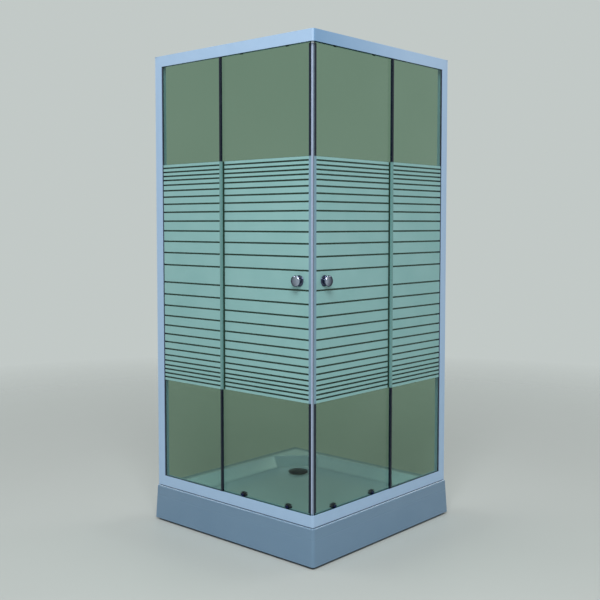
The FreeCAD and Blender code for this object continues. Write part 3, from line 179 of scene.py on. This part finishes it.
MOTTLED = {
    # finish: pair of tones, scale, gloss range, bump scale and depth, other sockets
    "white_powder_coat": (PAINT, 24, (0.28, 0.36), 900, 0.00004,
                          {"Coat_Weight": 0.25, "Coat_Roughness": 0.2}),
    "bright_chrome": (((0.62, 0.64, 0.66), (0.70, 0.72, 0.74)), 60, (0.06, 0.12), 0, 0, {"Metallic": 1.0}),
    # Painted dark reflection: the chrome drain cover made near black, as if mirroring a dim room
    "cover_painted_dark_reflection": (((0.004, 0.010, 0.022), (0.007, 0.015, 0.032)), 80, (0.3, 0.38), 0, 0,
                   {"Specular_IOR_Level": 0.1}),
    "roller_navy": (((0.004, 0.007, 0.045), (0.007, 0.011, 0.06)), 150, (0.42, 0.52), 900, 0.00002,
                    {"Specular_IOR_Level": 0.15}),
    "plated_steel": (((0.50, 0.51, 0.52), (0.60, 0.61, 0.62)), 120, (0.28, 0.42), 700, 0.00002,
                     {"Metallic": 1.0}),
    "spring_steel": (((0.42, 0.42, 0.43), (0.52, 0.52, 0.52)), 300, (0.2, 0.3), 0, 0, {"Metallic": 1.0}),
    "wheel_nylon": (((0.72, 0.73, 0.71), (0.78, 0.79, 0.77)), 200, (0.35, 0.45), 900, 0.00002, {}),
    "trap_plastic": (((0.76, 0.77, 0.74), (0.80, 0.81, 0.78)), 30, (0.3, 0.4), 500, 0.00003, {}),
    "foot_plastic": (((0.022, 0.022, 0.024), (0.032, 0.032, 0.034)), 60, (0.45, 0.6), 600, 0.00005, {}),
    "seal_rubber": (((0.012, 0.012, 0.014), (0.02, 0.02, 0.022)), 90, (0.55, 0.7), 700, 0.00004, {}),
    "glazing_gasket": (((0.02, 0.03, 0.06), (0.03, 0.04, 0.075)), 70, (0.45, 0.6), 500, 0.00003, {}),
    "left_magnet": (((0.40, 0.49, 0.67), (0.44, 0.53, 0.71)), 80, (0.35, 0.45), 600, 0.00002, {}),
    # Painted shade: the right magnet strip is the left one's white, darkened
    "right_magnet": (((0.17, 0.23, 0.31), (0.20, 0.26, 0.34)), 80, (0.35, 0.45), 600, 0.00002, {}),
}


def band_edges():
    """Low and high edge of each frosted band, measured up from the middle line."""
    edges = []
    low = 0.0
    high = MIDDLE_BAND_HALF
    for index in range(LINE_COUNT + 1):
        edges.append((low, high))
        low = high + CLEAR_LINE
        high += max(LEAST_PITCH, FIRST_PITCH - PITCH_STEP * index)
    return edges


# Materials
def finish_named(name):
    """A new node material, its tree and its Principled shader."""
    material = bpy.data.materials.new(name)
    material.use_nodes = True
    tree = material.node_tree
    return material, tree, tree.nodes["Principled BSDF"]


def set_sockets(shader, **values):
    for name, value in values.items():
        shader.inputs[name.replace("_", " ")].default_value = value


def link(tree, *pairs):
    for source, target in pairs:
        tree.links.new(source, target)


def object_coordinates(tree, scale=(1, 1, 1)):
    place = tree.nodes.new("ShaderNodeTexCoord")
    mapping = tree.nodes.new("ShaderNodeMapping")
    mapping.inputs["Scale"].default_value = scale
    link(tree, (place.outputs["Object"], mapping.inputs["Vector"]))
    return mapping.outputs["Vector"]


def split_coordinates(tree):
    """The X, Y and Z of a point on the piece."""
    split = tree.nodes.new("ShaderNodeSeparateXYZ")
    link(tree, (object_coordinates(tree), split.inputs["Vector"]))
    return [split.outputs[name] for name in "XYZ"]


def calculated(tree, operation, first, second=None):
    """The result of a Math node on one or two values, each a socket or a plain number."""
    node = tree.nodes.new("ShaderNodeMath")
    node.operation = operation
    for socket, value in zip(node.inputs, (first, second)):
        if isinstance(value, bpy.types.NodeSocket):
            link(tree, (value, socket))
        elif value is not None:
            socket.default_value = value
    return node.outputs[0]


def grain(tree, scale, detail=3.0):
    noise = tree.nodes.new("ShaderNodeTexNoise")
    noise.inputs["Scale"].default_value = scale
    noise.inputs["Detail"].default_value = detail
    link(tree, (object_coordinates(tree), noise.inputs["Vector"]))
    return noise.outputs["Fac"]


def between(tree, factor, low, high, start=0.3, end=0.7):
    """A value that runs from low to high as the factor runs from start to end."""
    reach = tree.nodes.new("ShaderNodeMapRange")
    for name, value in (("From Min", start), ("From Max", end), ("To Min", low), ("To Max", high)):
        reach.inputs[name].default_value = value
    link(tree, (factor, reach.inputs["Value"]))
    return reach.outputs["Result"]


def blend_colours(tree, factor, first, second):
    mix = tree.nodes.new("ShaderNodeMix")
    mix.data_type = "RGBA"
    for name, colour in (("A", first), ("B", second)):
        if isinstance(colour, tuple):
            mix.inputs[name].default_value = (*colour, 1)
        else:
            link(tree, (colour, mix.inputs[name]))
    link(tree, (factor, mix.inputs["Factor"]))
    return mix.outputs["Result"]


def wander_between(tree, factor, tones):
    return blend_colours(tree, between(tree, factor, 0, 1), *tones)


def bump(tree, shader, factor, distance):
    node = tree.nodes.new("ShaderNodeBump")
    node.inputs["Distance"].default_value = distance
    node.inputs["Strength"].default_value = 1.0
    link(tree, (factor, node.inputs["Height"]), (node.outputs["Normal"], shader.inputs["Normal"]))


def make_mottled(name, tones, scale, gloss, bump_scale, bump_depth, sockets):
    """A finish whose colour and gloss wander a little, with a fine surface texture."""
    material, tree, shader = finish_named(name)
    wander = grain(tree, scale)
    link(tree, (wander_between(tree, wander, tones), shader.inputs["Base Color"]),
         (between(tree, wander, *gloss), shader.inputs["Roughness"]))
    if bump_depth:
        bump(tree, shader, grain(tree, bump_scale, 2.0), bump_depth)
    set_sockets(shader, **sockets)
    return material


def furthest_out(tree):
    """The larger of a point's two level distances from the middle of the tray."""
    x, y, _ = split_coordinates(tree)
    return calculated(tree, "MAXIMUM", calculated(tree, "ABSOLUTE", x), calculated(tree, "ABSOLUTE", y))


def off_the_glass(tree):
    """One on the drum of a knob and zero on its foot, by its distance from the middle of the glass."""
    low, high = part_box("left_door_glass")
    depth = calculated(tree, "ABSOLUTE", calculated(tree, "ADD", furthest_out(tree), (low.y + high.y) / 2))
    return between(tree, depth, 0, 1, *KNOB_DRUM_FROM)


def make_chrome_painted_dim_reflection():
    """Chrome with painted reflection of a dim room: dimmed pale tones where it faces the eye, and painted
    dark reflection in navy on its outline and its foot.
    """
    material, tree, shader = finish_named("chrome_painted_dim_reflection")
    facing = tree.nodes.new("ShaderNodeLayerWeight")
    facing.inputs["Blend"].default_value = 0.45
    wander = grain(tree, 90)
    # The foot and the grazing outline get painted dark reflection, not a colour of the chrome itself
    face = blend_colours(tree, off_the_glass(tree), KNOB_FOOT_PAINTED_REFLECTION, wander_between(tree, wander, KNOB_DRUM_PAINTED_REFLECTION))
    outline = between(tree, facing.outputs["Facing"], 0, 1, 0.12, 0.46)
    link(tree, (blend_colours(tree, outline, face, KNOB_OUTLINE_PAINTED_REFLECTION), shader.inputs["Base Color"]),
         (between(tree, wander, 0.06, 0.12), shader.inputs["Roughness"]))
    set_sockets(shader, Metallic=1.0)
    return material


def make_corner_paint_with_shade():
    """The frame's paint on the top corner, with painted shade right of the fold that fades back to the
    plain paint towards the wall.
    """
    material, tree, shader = finish_named("top_corner_painted_shade")
    _, scale, gloss, bump_scale, bump_depth, sockets = MOTTLED["white_powder_coat"]
    wander = grain(tree, scale)
    x, y, _ = split_coordinates(tree)
    past_fold = calculated(tree, "ADD", x, y)
    pale = wander_between(tree, wander, PAINT)
    # Painted shade right of the fold, fading back to the plain paint towards the wall
    shaded_paint = blend_colours(tree, between(tree, past_fold, 0, 1, *PAINTED_SHADE_FADES), PAINTED_SHADE_RIGHT_OF_FOLD, pale)
    link(tree, (blend_colours(tree, between(tree, past_fold, 0, 1, *PAINTED_SHADE_FROM), pale, shaded_paint),
                shader.inputs["Base Color"]),
         (between(tree, wander, *gloss), shader.inputs["Roughness"]))
    bump(tree, shader, grain(tree, bump_scale, 2.0), bump_depth)
    set_sockets(shader, **sockets)
    return material


def make_acrylic():
    """Cast acrylic: pale walls, a rougher floor darkened with painted shade and blotches, and a skirt
    darkened with painted shade, with fine orange peel.
    """
    material, tree, shader = finish_named("tray_acrylic")
    cloud = grain(tree, 5)
    height = split_coordinates(tree)[2]
    above_floor = between(tree, height, 0, 1, *BASIN_WALLS_FROM)
    blotches = between(tree, grain(tree, 14, 4.0), 0, 1, 0.35, 0.65)
    # Painted shade on the basin's floor, with blotches
    floor = blend_colours(tree, blotches, *BASIN_FLOOR_PAINTED_SHADE)
    basin = blend_colours(tree, above_floor, floor, wander_between(tree, cloud, BASIN_WALLS))
    # Painted shade on the skirt, out from the middle of the tray
    outside = between(tree, furthest_out(tree), 0, 1, *SKIRT_SHADE_FROM)
    link(tree, (blend_colours(tree, outside, basin, wander_between(tree, cloud, TRAY_SKIRT_PAINTED_SHADE)),
                shader.inputs["Base Color"]),
         (between(tree, above_floor, 0.42, 0.18, 0, 1), shader.inputs["Roughness"]))
    bump(tree, shader, grain(tree, 60, 2.0), 0.00012)
    set_sockets(shader, Coat_Weight=0.5, Coat_Roughness=0.08)
    return material


def make_board():
    """Particle board under its clear resin: flakes of several browns."""
    material, tree, shader = finish_named("particle_board")
    flakes = tree.nodes.new("ShaderNodeTexVoronoi")
    flakes.inputs["Scale"].default_value = 320
    split = tree.nodes.new("ShaderNodeSeparateColor")
    link(tree, (object_coordinates(tree, (1, 1, 2.5)), flakes.inputs["Vector"]),
         (flakes.outputs["Color"], split.inputs["Color"]),
         (blend_colours(tree, split.outputs["Red"], *BOARD_FLAKES), shader.inputs["Base Color"]),
         (between(tree, grain(tree, 40), 0.4, 0.6), shader.inputs["Roughness"]))
    bump(tree, shader, flakes.outputs["Distance"], 0.0002)
    return material


def let_lamps_through(material, tree, shader, colour):
    """Lamps and soft light pass straight through a clear finish; sight still goes through the shader."""
    path = tree.nodes.new("ShaderNodeLightPath")
    lamplight = calculated(tree, "MAXIMUM", path.outputs["Is Shadow Ray"], path.outputs["Is Diffuse Ray"])
    clear = tree.nodes.new("ShaderNodeBsdfTransparent")
    clear.inputs["Color"].default_value = (*colour, 1)
    mix = tree.nodes.new("ShaderNodeMixShader")
    link(tree, (lamplight, mix.inputs["Fac"]), (shader.outputs["BSDF"], mix.inputs[1]),
         (clear.outputs["BSDF"], mix.inputs[2]),
         (mix.outputs["Shader"], tree.nodes["Material Output"].inputs["Surface"]))
    return material


def beside_the_bands(tree):
    """One where the frosted bands lie beside a point, by its height, and zero above and below them."""
    height = split_coordinates(tree)[2]
    distance = calculated(tree, "ABSOLUTE", calculated(tree, "SUBTRACT", height, BAND_MIDDLE_Z))
    reach = band_edges()[-1][1]
    return between(tree, distance, 1, 0, reach - BAND_TONE_REACH, reach + BAND_TONE_REACH)


def make_glass():
    """Tempered glass whose deep green-grey tint is partly its own cast and partly painted shade, with
    near-black painted shade in the clear lines between the frosted bands.
    """
    material, tree, shader = finish_named("tempered_glass")
    plain = wander_between(tree, grain(tree, 2.2, 1.0), CLEAR_GLASS)
    # Painted shade near black in the clear lines beside the bands
    link(tree, (blend_colours(tree, beside_the_bands(tree), plain, PAINTED_SHADE_BETWEEN_BANDS),
                shader.inputs["Base Color"]))
    set_sockets(shader, Roughness=0.0, IOR=1.3, Transmission_Weight=1.0)
    return let_lamps_through(material, tree, shader, (0.82, 0.88, 0.85))


def make_clear_seal(name, painted_shade_tone, band_tone):
    """Soft clear plastic, near black with painted shade where it lies on clear glass, and taking the tone
    of the bands beside it.
    """
    material, tree, shader = finish_named(name)
    haze = grain(tree, 25)
    darker = tuple(value * 0.8 for value in painted_shade_tone)
    painted_dark_seal = wander_between(tree, haze, (darker, painted_shade_tone))
    link(tree, (blend_colours(tree, beside_the_bands(tree), painted_dark_seal, band_tone), shader.inputs["Base Color"]),
         (between(tree, haze, 0.14, 0.24), shader.inputs["Roughness"]))
    set_sockets(shader, IOR=1.5, Specular_IOR_Level=0.25, Transmission_Weight=0.2)
    return let_lamps_through(material, tree, shader, (0.5, 0.55, 0.6))


def make_print():
    """The frosted print: a fine pale green-white screen that lets some light through."""
    material, tree, shader = finish_named("frosted_print")
    link(tree, (wander_between(tree, grain(tree, 7), FROST), shader.inputs["Base Color"]),
         (between(tree, grain(tree, 1800, 1.0), 0.5, 0.65), shader.inputs["Roughness"]))
    set_sockets(shader, Transmission_Weight=0.12, Alpha=0.96)
    return material


FINISHES = {name: make_mottled(name, *row) for name, row in MOTTLED.items()}
FINISHES.update({
    "white_frame": FINISHES["white_powder_coat"],
    "chrome_trim": make_chrome_painted_dim_reflection(),
    "glazing_rubber": FINISHES["glazing_gasket"],
    "magnet_white": FINISHES["left_magnet"],
    "tray_acrylic": make_acrylic(),
    "base_board": make_board(),
    "panel_glass": make_glass(),
    # The first tone is painted shade on clear glass; the second is the tone of the bands seen through the
    # seal
    "clear_seal": make_clear_seal("edge_seal_plastic", (0.010, 0.016, 0.035), (0.20, 0.40, 0.39)),
})
# The first tone is painted shade on clear glass; the second is the tone of the bands seen through the seal
CORNER_SEAL = make_clear_seal("corner_seal_plastic", (0.008, 0.018, 0.04), (0.26, 0.44, 0.56))
CORNER_PAINT_WITH_SHADE = make_corner_paint_with_shade()
FROSTED_PRINT = make_print()

# Nodes whose finish is not the one of their slot
FINISH_OF = {
    # Painted shade on the right magnet strip
    "right_magnet_strip": FINISHES["right_magnet"],
    "left_magnet_seal": CORNER_SEAL,
    "right_magnet_seal": CORNER_SEAL,
    "drain_flange": FINISHES["bright_chrome"],
    # Painted dark reflection on the chrome drain cover
    "drain_cover": FINISHES["cover_painted_dark_reflection"],
    # The right top rail and the top corner carry painted shade right of the fold
    "right_top_rail": CORNER_PAINT_WITH_SHADE,
    "top_corner_piece": CORNER_PAINT_WITH_SHADE,
}
for glass_side in SIDES:
    for part in ("roller_caps", "bottom_housings", "front_carriage", "rear_carriage"):
        FINISH_OF["%s_%s" % (glass_side, part)] = FINISHES["roller_navy"]


def finish_of(node):
    return FINISH_OF.get(node, FINISHES[SLOT_OF[node]])


def dress_frame():
    """Give every node of the frame its finish."""
    for node, item in nodes.items():
        item.data.materials.clear()
        item.data.materials.append(finish_of(node))


# Pieces
def piece_from(shape, name, body, material):
    mesh = bpy.data.meshes.new(name)
    shape.to_mesh(mesh)
    shape.free()
    mesh.materials.append(material)
    piece = bpy.data.objects.new(name, mesh)
    bpy.context.scene.collection.objects.link(piece)
    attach(piece, body)
    return piece


def standing_for(shape, name, *members):
    """Hand a shape over as the piece that stands for one or more nodes of one body."""
    first = members[0]
    piece = piece_from(shape, name, BODY_OF[first], finish_of(first))
    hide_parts(*members)
    return piece


def smooth_faces(shape, crease=40):
    """Smooth shading that stops at edges sharper than the crease."""
    for face in shape.faces:
        face.smooth = True
    for edge in shape.edges:
        edge.smooth = len(edge.link_faces) == 2 and edge.calc_face_angle(0) < math.radians(crease)


def ease_edges(shape, ease, segments):
    """Round every edge that is sharper than a shallow bend."""
    sharp = [edge for edge in shape.edges
             if len(edge.link_faces) == 2 and edge.calc_face_angle(0) > math.radians(EASE_LEAST_ANGLE)]
    bmesh.ops.bevel(shape, geom=sharp, offset=ease, offset_type="OFFSET", segments=segments, profile=0.5,
                    affect="EDGES", material=-1, clamp_overlap=True)


def merged_copy(node):
    """A node's mesh as one skin, with its flat faces whole."""
    shape = bmesh.new()
    shape.from_mesh(nodes[node].data)
    bmesh.ops.remove_doubles(shape, verts=shape.verts, dist=0.002 * MM)
    bmesh.ops.dissolve_limit(shape, angle_limit=math.radians(0.3), verts=shape.verts, edges=shape.edges)
    return shape


def ease_node(node, ease):
    """A merged copy of a node with softened edges, which stands for it."""
    shape = merged_copy(node)
    if ease:
        ease_edges(shape, ease * MM, 2)
    smooth_faces(shape)
    piece = standing_for(shape, node + "_eased", node)
    weigh = piece.modifiers.new("flat_faces", "WEIGHTED_NORMAL")
    weigh.keep_sharp = True


def ease_nodes():
    for node, ease in EASED.items():
        ease_node(node, ease)
    for side in SIDES:
        for node, ease in EASED_PER_SIDE.items():
            ease_node("%s_%s" % (side, node), ease)


def turned_shape(profile, ease, steps=72, segments=3):
    """A round shape about Z from a profile in millimetres, with rounded rims."""
    shape = bmesh.new()
    points = [shape.verts.new((radius * MM, 0, height * MM)) for radius, height in profile]
    edges = [shape.edges.new(pair) for pair in zip(points, points[1:])]
    bmesh.ops.spin(shape, geom=points + edges, cent=(0, 0, 0), axis=(0, 0, 1), dvec=(0, 0, 0),
                   angle=math.tau, steps=steps, use_merge=True, use_duplicate=False)
    bmesh.ops.remove_doubles(shape, verts=shape.verts, dist=0.001 * MM)
    bmesh.ops.recalc_face_normals(shape, faces=shape.faces)
    if ease:
        ease_edges(shape, ease * MM, segments)
    return shape


def moved(shape, *turns):
    """The shape moved by several matrices, the last one first, with its faces pointing outwards."""
    place = Matrix.Identity(4)
    for turn in turns:
        place = place @ turn
    bmesh.ops.transform(shape, matrix=place, verts=shape.verts)
    bmesh.ops.recalc_face_normals(shape, faces=shape.faces)
    return shape


def add_shape(target, shape):
    """Add one shape to another."""
    mesh = bpy.data.meshes.new("passing")
    shape.to_mesh(mesh)
    shape.free()
    target.from_mesh(mesh)
    bpy.data.meshes.remove(mesh)


def add_block(shape, low, high):
    """Add a block between two opposite corners."""
    low, high = Vector(low), Vector(high)
    place = Matrix.Translation((low + high) / 2) @ Matrix.Diagonal((*(high - low), 1))
    bmesh.ops.create_cube(shape, size=1, matrix=place)


def mirror_for(side):
    return TO_RIGHT if side == "right" else Matrix.Identity(4)


def centre_of(node):
    low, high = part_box(node)
    return (low + high) / 2


def make_knobs():
    """Spool knobs: a drum with a domed face on a slim waist, and a broad foot on the glass."""
    glass_low, glass_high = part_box("left_door_glass")
    knob = centre_of("left_outer_knob")
    for side in SIDES:
        for name, face, turn in (("outer", glass_low.y, OUTWARDS), ("inner", glass_high.y, INWARDS)):
            place = Matrix.Translation((knob.x, face, knob.z))
            shape = moved(turned_shape(KNOB, 0.9), mirror_for(side), place, turn)
            smooth_faces(shape)
            standing_for(shape, "%s_%s_knob_turned" % (side, name), "%s_%s_knob" % (side, name))


def make_roller_caps():
    """Domed cap nuts on the outside of the glass, one for each roller, with a round recess for the key."""
    low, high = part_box("left_roller_caps")
    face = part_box("left_door_glass")[0].y
    radius = ROLLER_CAP_RADIUS * MM
    for side in SIDES:
        shape = bmesh.new()
        for x in (low.x + radius, high.x - radius):
            for z in (low.z + radius, high.z - radius):
                cap = turned_shape(ROLLER_CAP, 0.3, 40, 2)
                add_shape(shape, moved(cap, mirror_for(side), Matrix.Translation((x, face, z)), OUTWARDS))
        smooth_faces(shape)
        standing_for(shape, side + "_roller_caps_domed", side + "_roller_caps")


def make_wheels():
    """Moulded wheels with a running groove, a thinned web and a hub."""
    for side, aim in zip(SIDES, (INWARDS, ACROSS)):
        for spot in ("front", "rear"):
            for level in ("top", "bottom"):
                node = "%s_%s_%s_wheel" % (side, spot, level)
                shape = moved(turned_shape(WHEEL, 0.15, 56, 2), Matrix.Translation(centre_of(node)), aim)
                smooth_faces(shape)
                standing_for(shape, node + "_moulded", node)


def half_coil(node, cut, upper):
    """The part of a spring above or below a height, with its cut end closed."""
    shape = merged_copy(node)
    bmesh.ops.bisect_plane(shape, geom=shape.verts[:] + shape.edges[:] + shape.faces[:], dist=0.001 * MM,
                           plane_co=(0, 0, cut), plane_no=(0, 0, 1), clear_inner=upper,
                           clear_outer=not upper)
    bmesh.ops.holes_fill(shape, edges=[edge for edge in shape.edges if edge.is_boundary], sides=0)
    bmesh.ops.recalc_face_normals(shape, faces=shape.faces)
    smooth_faces(shape, 60)
    return shape


def make_springs():
    """A spring in two coils: the narrower upper one rides with the carriage and dips into the lower one."""
    narrower = Matrix.Diagonal((UPPER_COIL_SHARE, UPPER_COIL_SHARE, 1, 1))
    for side in SIDES:
        for spot in ("front", "rear"):
            place = "%s_%s" % (side, spot)
            node = place + "_spring"
            middle = centre_of(node)
            axis = Matrix.Translation((middle.x, middle.y, 0))
            standing_for(half_coil(node, middle.z, False), node + "_lower_coil", node)
            upper = moved(half_coil(node, middle.z, True), axis, narrower, axis.inverted())
            piece_from(upper, node + "_upper_coil", BODY_OF[place + "_carriage"],
                       finish_of(node))


def make_drain():
    """The drain's flange, and its lift-off cover: a low disc, thinner towards its rim, on three legs."""
    low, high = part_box("drain_flange")
    centre = (low + high) / 2
    flange = moved(turned_shape(DRAIN_FLANGE, 0.8, 96), Matrix.Translation((centre.x, centre.y, low.z)))
    smooth_faces(flange)
    standing_for(flange, "drain_flange_turned", "drain_flange")
    low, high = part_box("drain_cover")
    centre = (low + high) / 2
    rim = high.z - DRAIN_COVER_HEIGHT * MM
    cover = moved(turned_shape(DRAIN_COVER, 0, 96), Matrix.Translation((centre.x, centre.y, rim)))
    for index in range(3):
        leg = bmesh.new()
        for (near, far), base in ((LEG_POST, low.z), (LEG_BRACKET, rim - LEG_BRACKET_DROP)):
            add_block(leg, (near, -LEG_HALF_WIDTH, base), (far, LEG_HALF_WIDTH, rim + LEG_INTO_COVER))
        ease_edges(leg, 0.5 * MM, 2)
        add_shape(cover, moved(leg, Matrix.Translation((centre.x, centre.y, 0)),
                               Matrix.Rotation(math.radians(120 * index), 4, "Z")))
    smooth_faces(cover)
    standing_for(cover, "drain_cover_domed", "drain_cover")


def make_bands(name, node, body, side, ends):
    """The frosted bands of a panel, a thin skin on both of its faces."""
    low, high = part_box("left_" + node)
    shape = bmesh.new()
    for near_face in (low.y - PRINT_GAP - PRINT_DEPTH, high.y + PRINT_GAP):
        for start, end in band_edges():
            spans = [(-end, end)] if start == 0 else [(start, end), (-end, -start)]
            for first, second in spans:
                add_block(shape, (low.x + ends[0], near_face, BAND_MIDDLE_Z + first),
                          (high.x - ends[1], near_face + PRINT_DEPTH, BAND_MIDDLE_Z + second))
    moved(shape, mirror_for(side))
    piece_from(shape, name, body, FROSTED_PRINT)


def make_all_bands():
    for side in SIDES:
        make_bands(side + "_fixed_bands", "fixed_glass", "frame", side, FIXED_BAND_ENDS)
        make_bands(side + "_door_bands", "door_glass", side + "_door", side, DOOR_BAND_ENDS)


def make_painted_shadow_bead():
    """A slim dark bead that puts painted shadow along the gap between the bottom rails and the tray, round
    the front corner.
    """
    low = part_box("left_wall_post")[0]
    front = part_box("left_bottom_rail")[0].y
    outer, inner = front - BEAD_PROUD, front + BEAD_INSIDE
    corners = ((low.x, outer), (-outer, outer), (-outer, -low.x), (-inner, -low.x), (-inner, inner),
               (low.x, inner))
    shape = bmesh.new()
    shape.faces.new([shape.verts.new((x, y, low.z - BEAD_BELOW)) for x, y in corners])
    grown = bmesh.ops.extrude_face_region(shape, geom=shape.faces[:])["geom"]
    risen = [item for item in grown if isinstance(item, bmesh.types.BMVert)]
    bmesh.ops.translate(shape, vec=(0, 0, BEAD_RISE), verts=risen)
    bmesh.ops.recalc_face_normals(shape, faces=shape.faces)
    front_corner = Vector((-outer, outer))
    bend = [edge for edge in shape.edges
            if all((vertex.co.xy - front_corner).length < 1 * MM for vertex in edge.verts)]
    bmesh.ops.bevel(shape, geom=bend, offset=BEAD_BEND, offset_type="OFFSET", segments=12, profile=0.5,
                    affect="EDGES", material=-1)
    ease_edges(shape, 0.25 * MM, 2)
    smooth_faces(shape)
    piece_from(shape, "painted_shadow_bead", "frame", FINISHES["glazing_gasket"])


# Studio
def make_studio():
    """A backdrop that sight, mirrors and glass show, and a dimmer soft light on the object."""
    scene = bpy.context.scene
    scene.view_settings.view_transform = "Standard"
    scene.cycles.transparent_max_bounces = 24
    world = bpy.data.worlds.new("studio")
    scene.world = world
    world.use_nodes = True
    tree = world.node_tree
    backdrop = tree.nodes["Background"]
    backdrop.inputs["Color"].default_value = (*BACKDROP, 1)
    backdrop.inputs["Strength"].default_value = 1.0
    soft = tree.nodes.new("ShaderNodeBackground")
    soft.inputs["Color"].default_value = (1, 1, 1, 1)
    soft.inputs["Strength"].default_value = SOFT_LIGHT
    path = tree.nodes.new("ShaderNodeLightPath")
    seen = calculated(tree, "MAXIMUM", path.outputs["Is Camera Ray"], path.outputs["Is Glossy Ray"])
    shown = calculated(tree, "MAXIMUM", seen, path.outputs["Is Transmission Ray"])
    mix = tree.nodes.new("ShaderNodeMixShader")
    link(tree, (shown, mix.inputs["Fac"]), (soft.outputs["Background"], mix.inputs[1]),
         (backdrop.outputs["Background"], mix.inputs[2]),
         (mix.outputs["Shader"], tree.nodes["World Output"].inputs["Surface"]))


def make_floor():
    """A pale floor that fades into the backdrop well away from the object."""
    shape = bmesh.new()
    bmesh.ops.create_circle(shape, cap_ends=True, segments=96, radius=FLOOR_RADIUS)
    mesh = bpy.data.meshes.new("floor")
    shape.to_mesh(mesh)
    shape.free()
    material, tree, shader = finish_named("pale_floor")
    set_sockets(shader, Base_Color=(*FLOOR_COLOUR, 1), Roughness=0.5, Specular_IOR_Level=0.2)
    reach = tree.nodes.new("ShaderNodeVectorMath")
    reach.operation = "LENGTH"
    clear = tree.nodes.new("ShaderNodeBsdfTransparent")
    mix = tree.nodes.new("ShaderNodeMixShader")
    link(tree, (object_coordinates(tree), reach.inputs[0]),
         (between(tree, reach.outputs["Value"], 0, 1, *FLOOR_FADE), mix.inputs["Fac"]),
         (shader.outputs["BSDF"], mix.inputs[1]), (clear.outputs["BSDF"], mix.inputs[2]),
         (mix.outputs["Shader"], tree.nodes["Material Output"].inputs["Surface"]))
    mesh.materials.append(material)
    floor = bpy.data.objects.new("floor", mesh)
    bpy.context.scene.collection.objects.link(floor)


def make_lights():
    """Softboxes high up, which stay out of what the glass mirrors."""
    for name, (place, aim, size, power) in LAMPS.items():
        light = bpy.data.lights.new(name, "AREA")
        light.shape = "RECTANGLE"
        light.size, light.size_y = size
        light.energy = power
        lamp = bpy.data.objects.new(name, light)
        lamp.location = place
        lamp.rotation_mode = "QUATERNION"
        lamp.rotation_quaternion = (Vector(aim) - Vector(place)).to_track_quat("-Z", "Y")
        lamp.visible_transmission = False
        bpy.context.scene.collection.objects.link(lamp)


def make_camera():
    camera = bpy.data.cameras.new("camera")
    camera.sensor_width = SENSOR_WIDTH
    camera.lens = LENS
    camera.shift_y = LENS_SHIFT
    camera.clip_end = SIGHT_END
    eye = bpy.data.objects.new("camera", camera)
    eye.location = EYE
    eye.rotation_euler = (math.radians(EYE_TILT), 0, math.radians(EYE_TURN))
    bpy.context.scene.collection.objects.link(eye)
    bpy.context.scene.camera = eye


dress_frame()
ease_nodes()
make_knobs()
make_roller_caps()
make_wheels()
make_springs()
make_drain()
make_all_bands()
make_painted_shadow_bead()
make_studio()
make_floor()
make_lights()
make_camera()
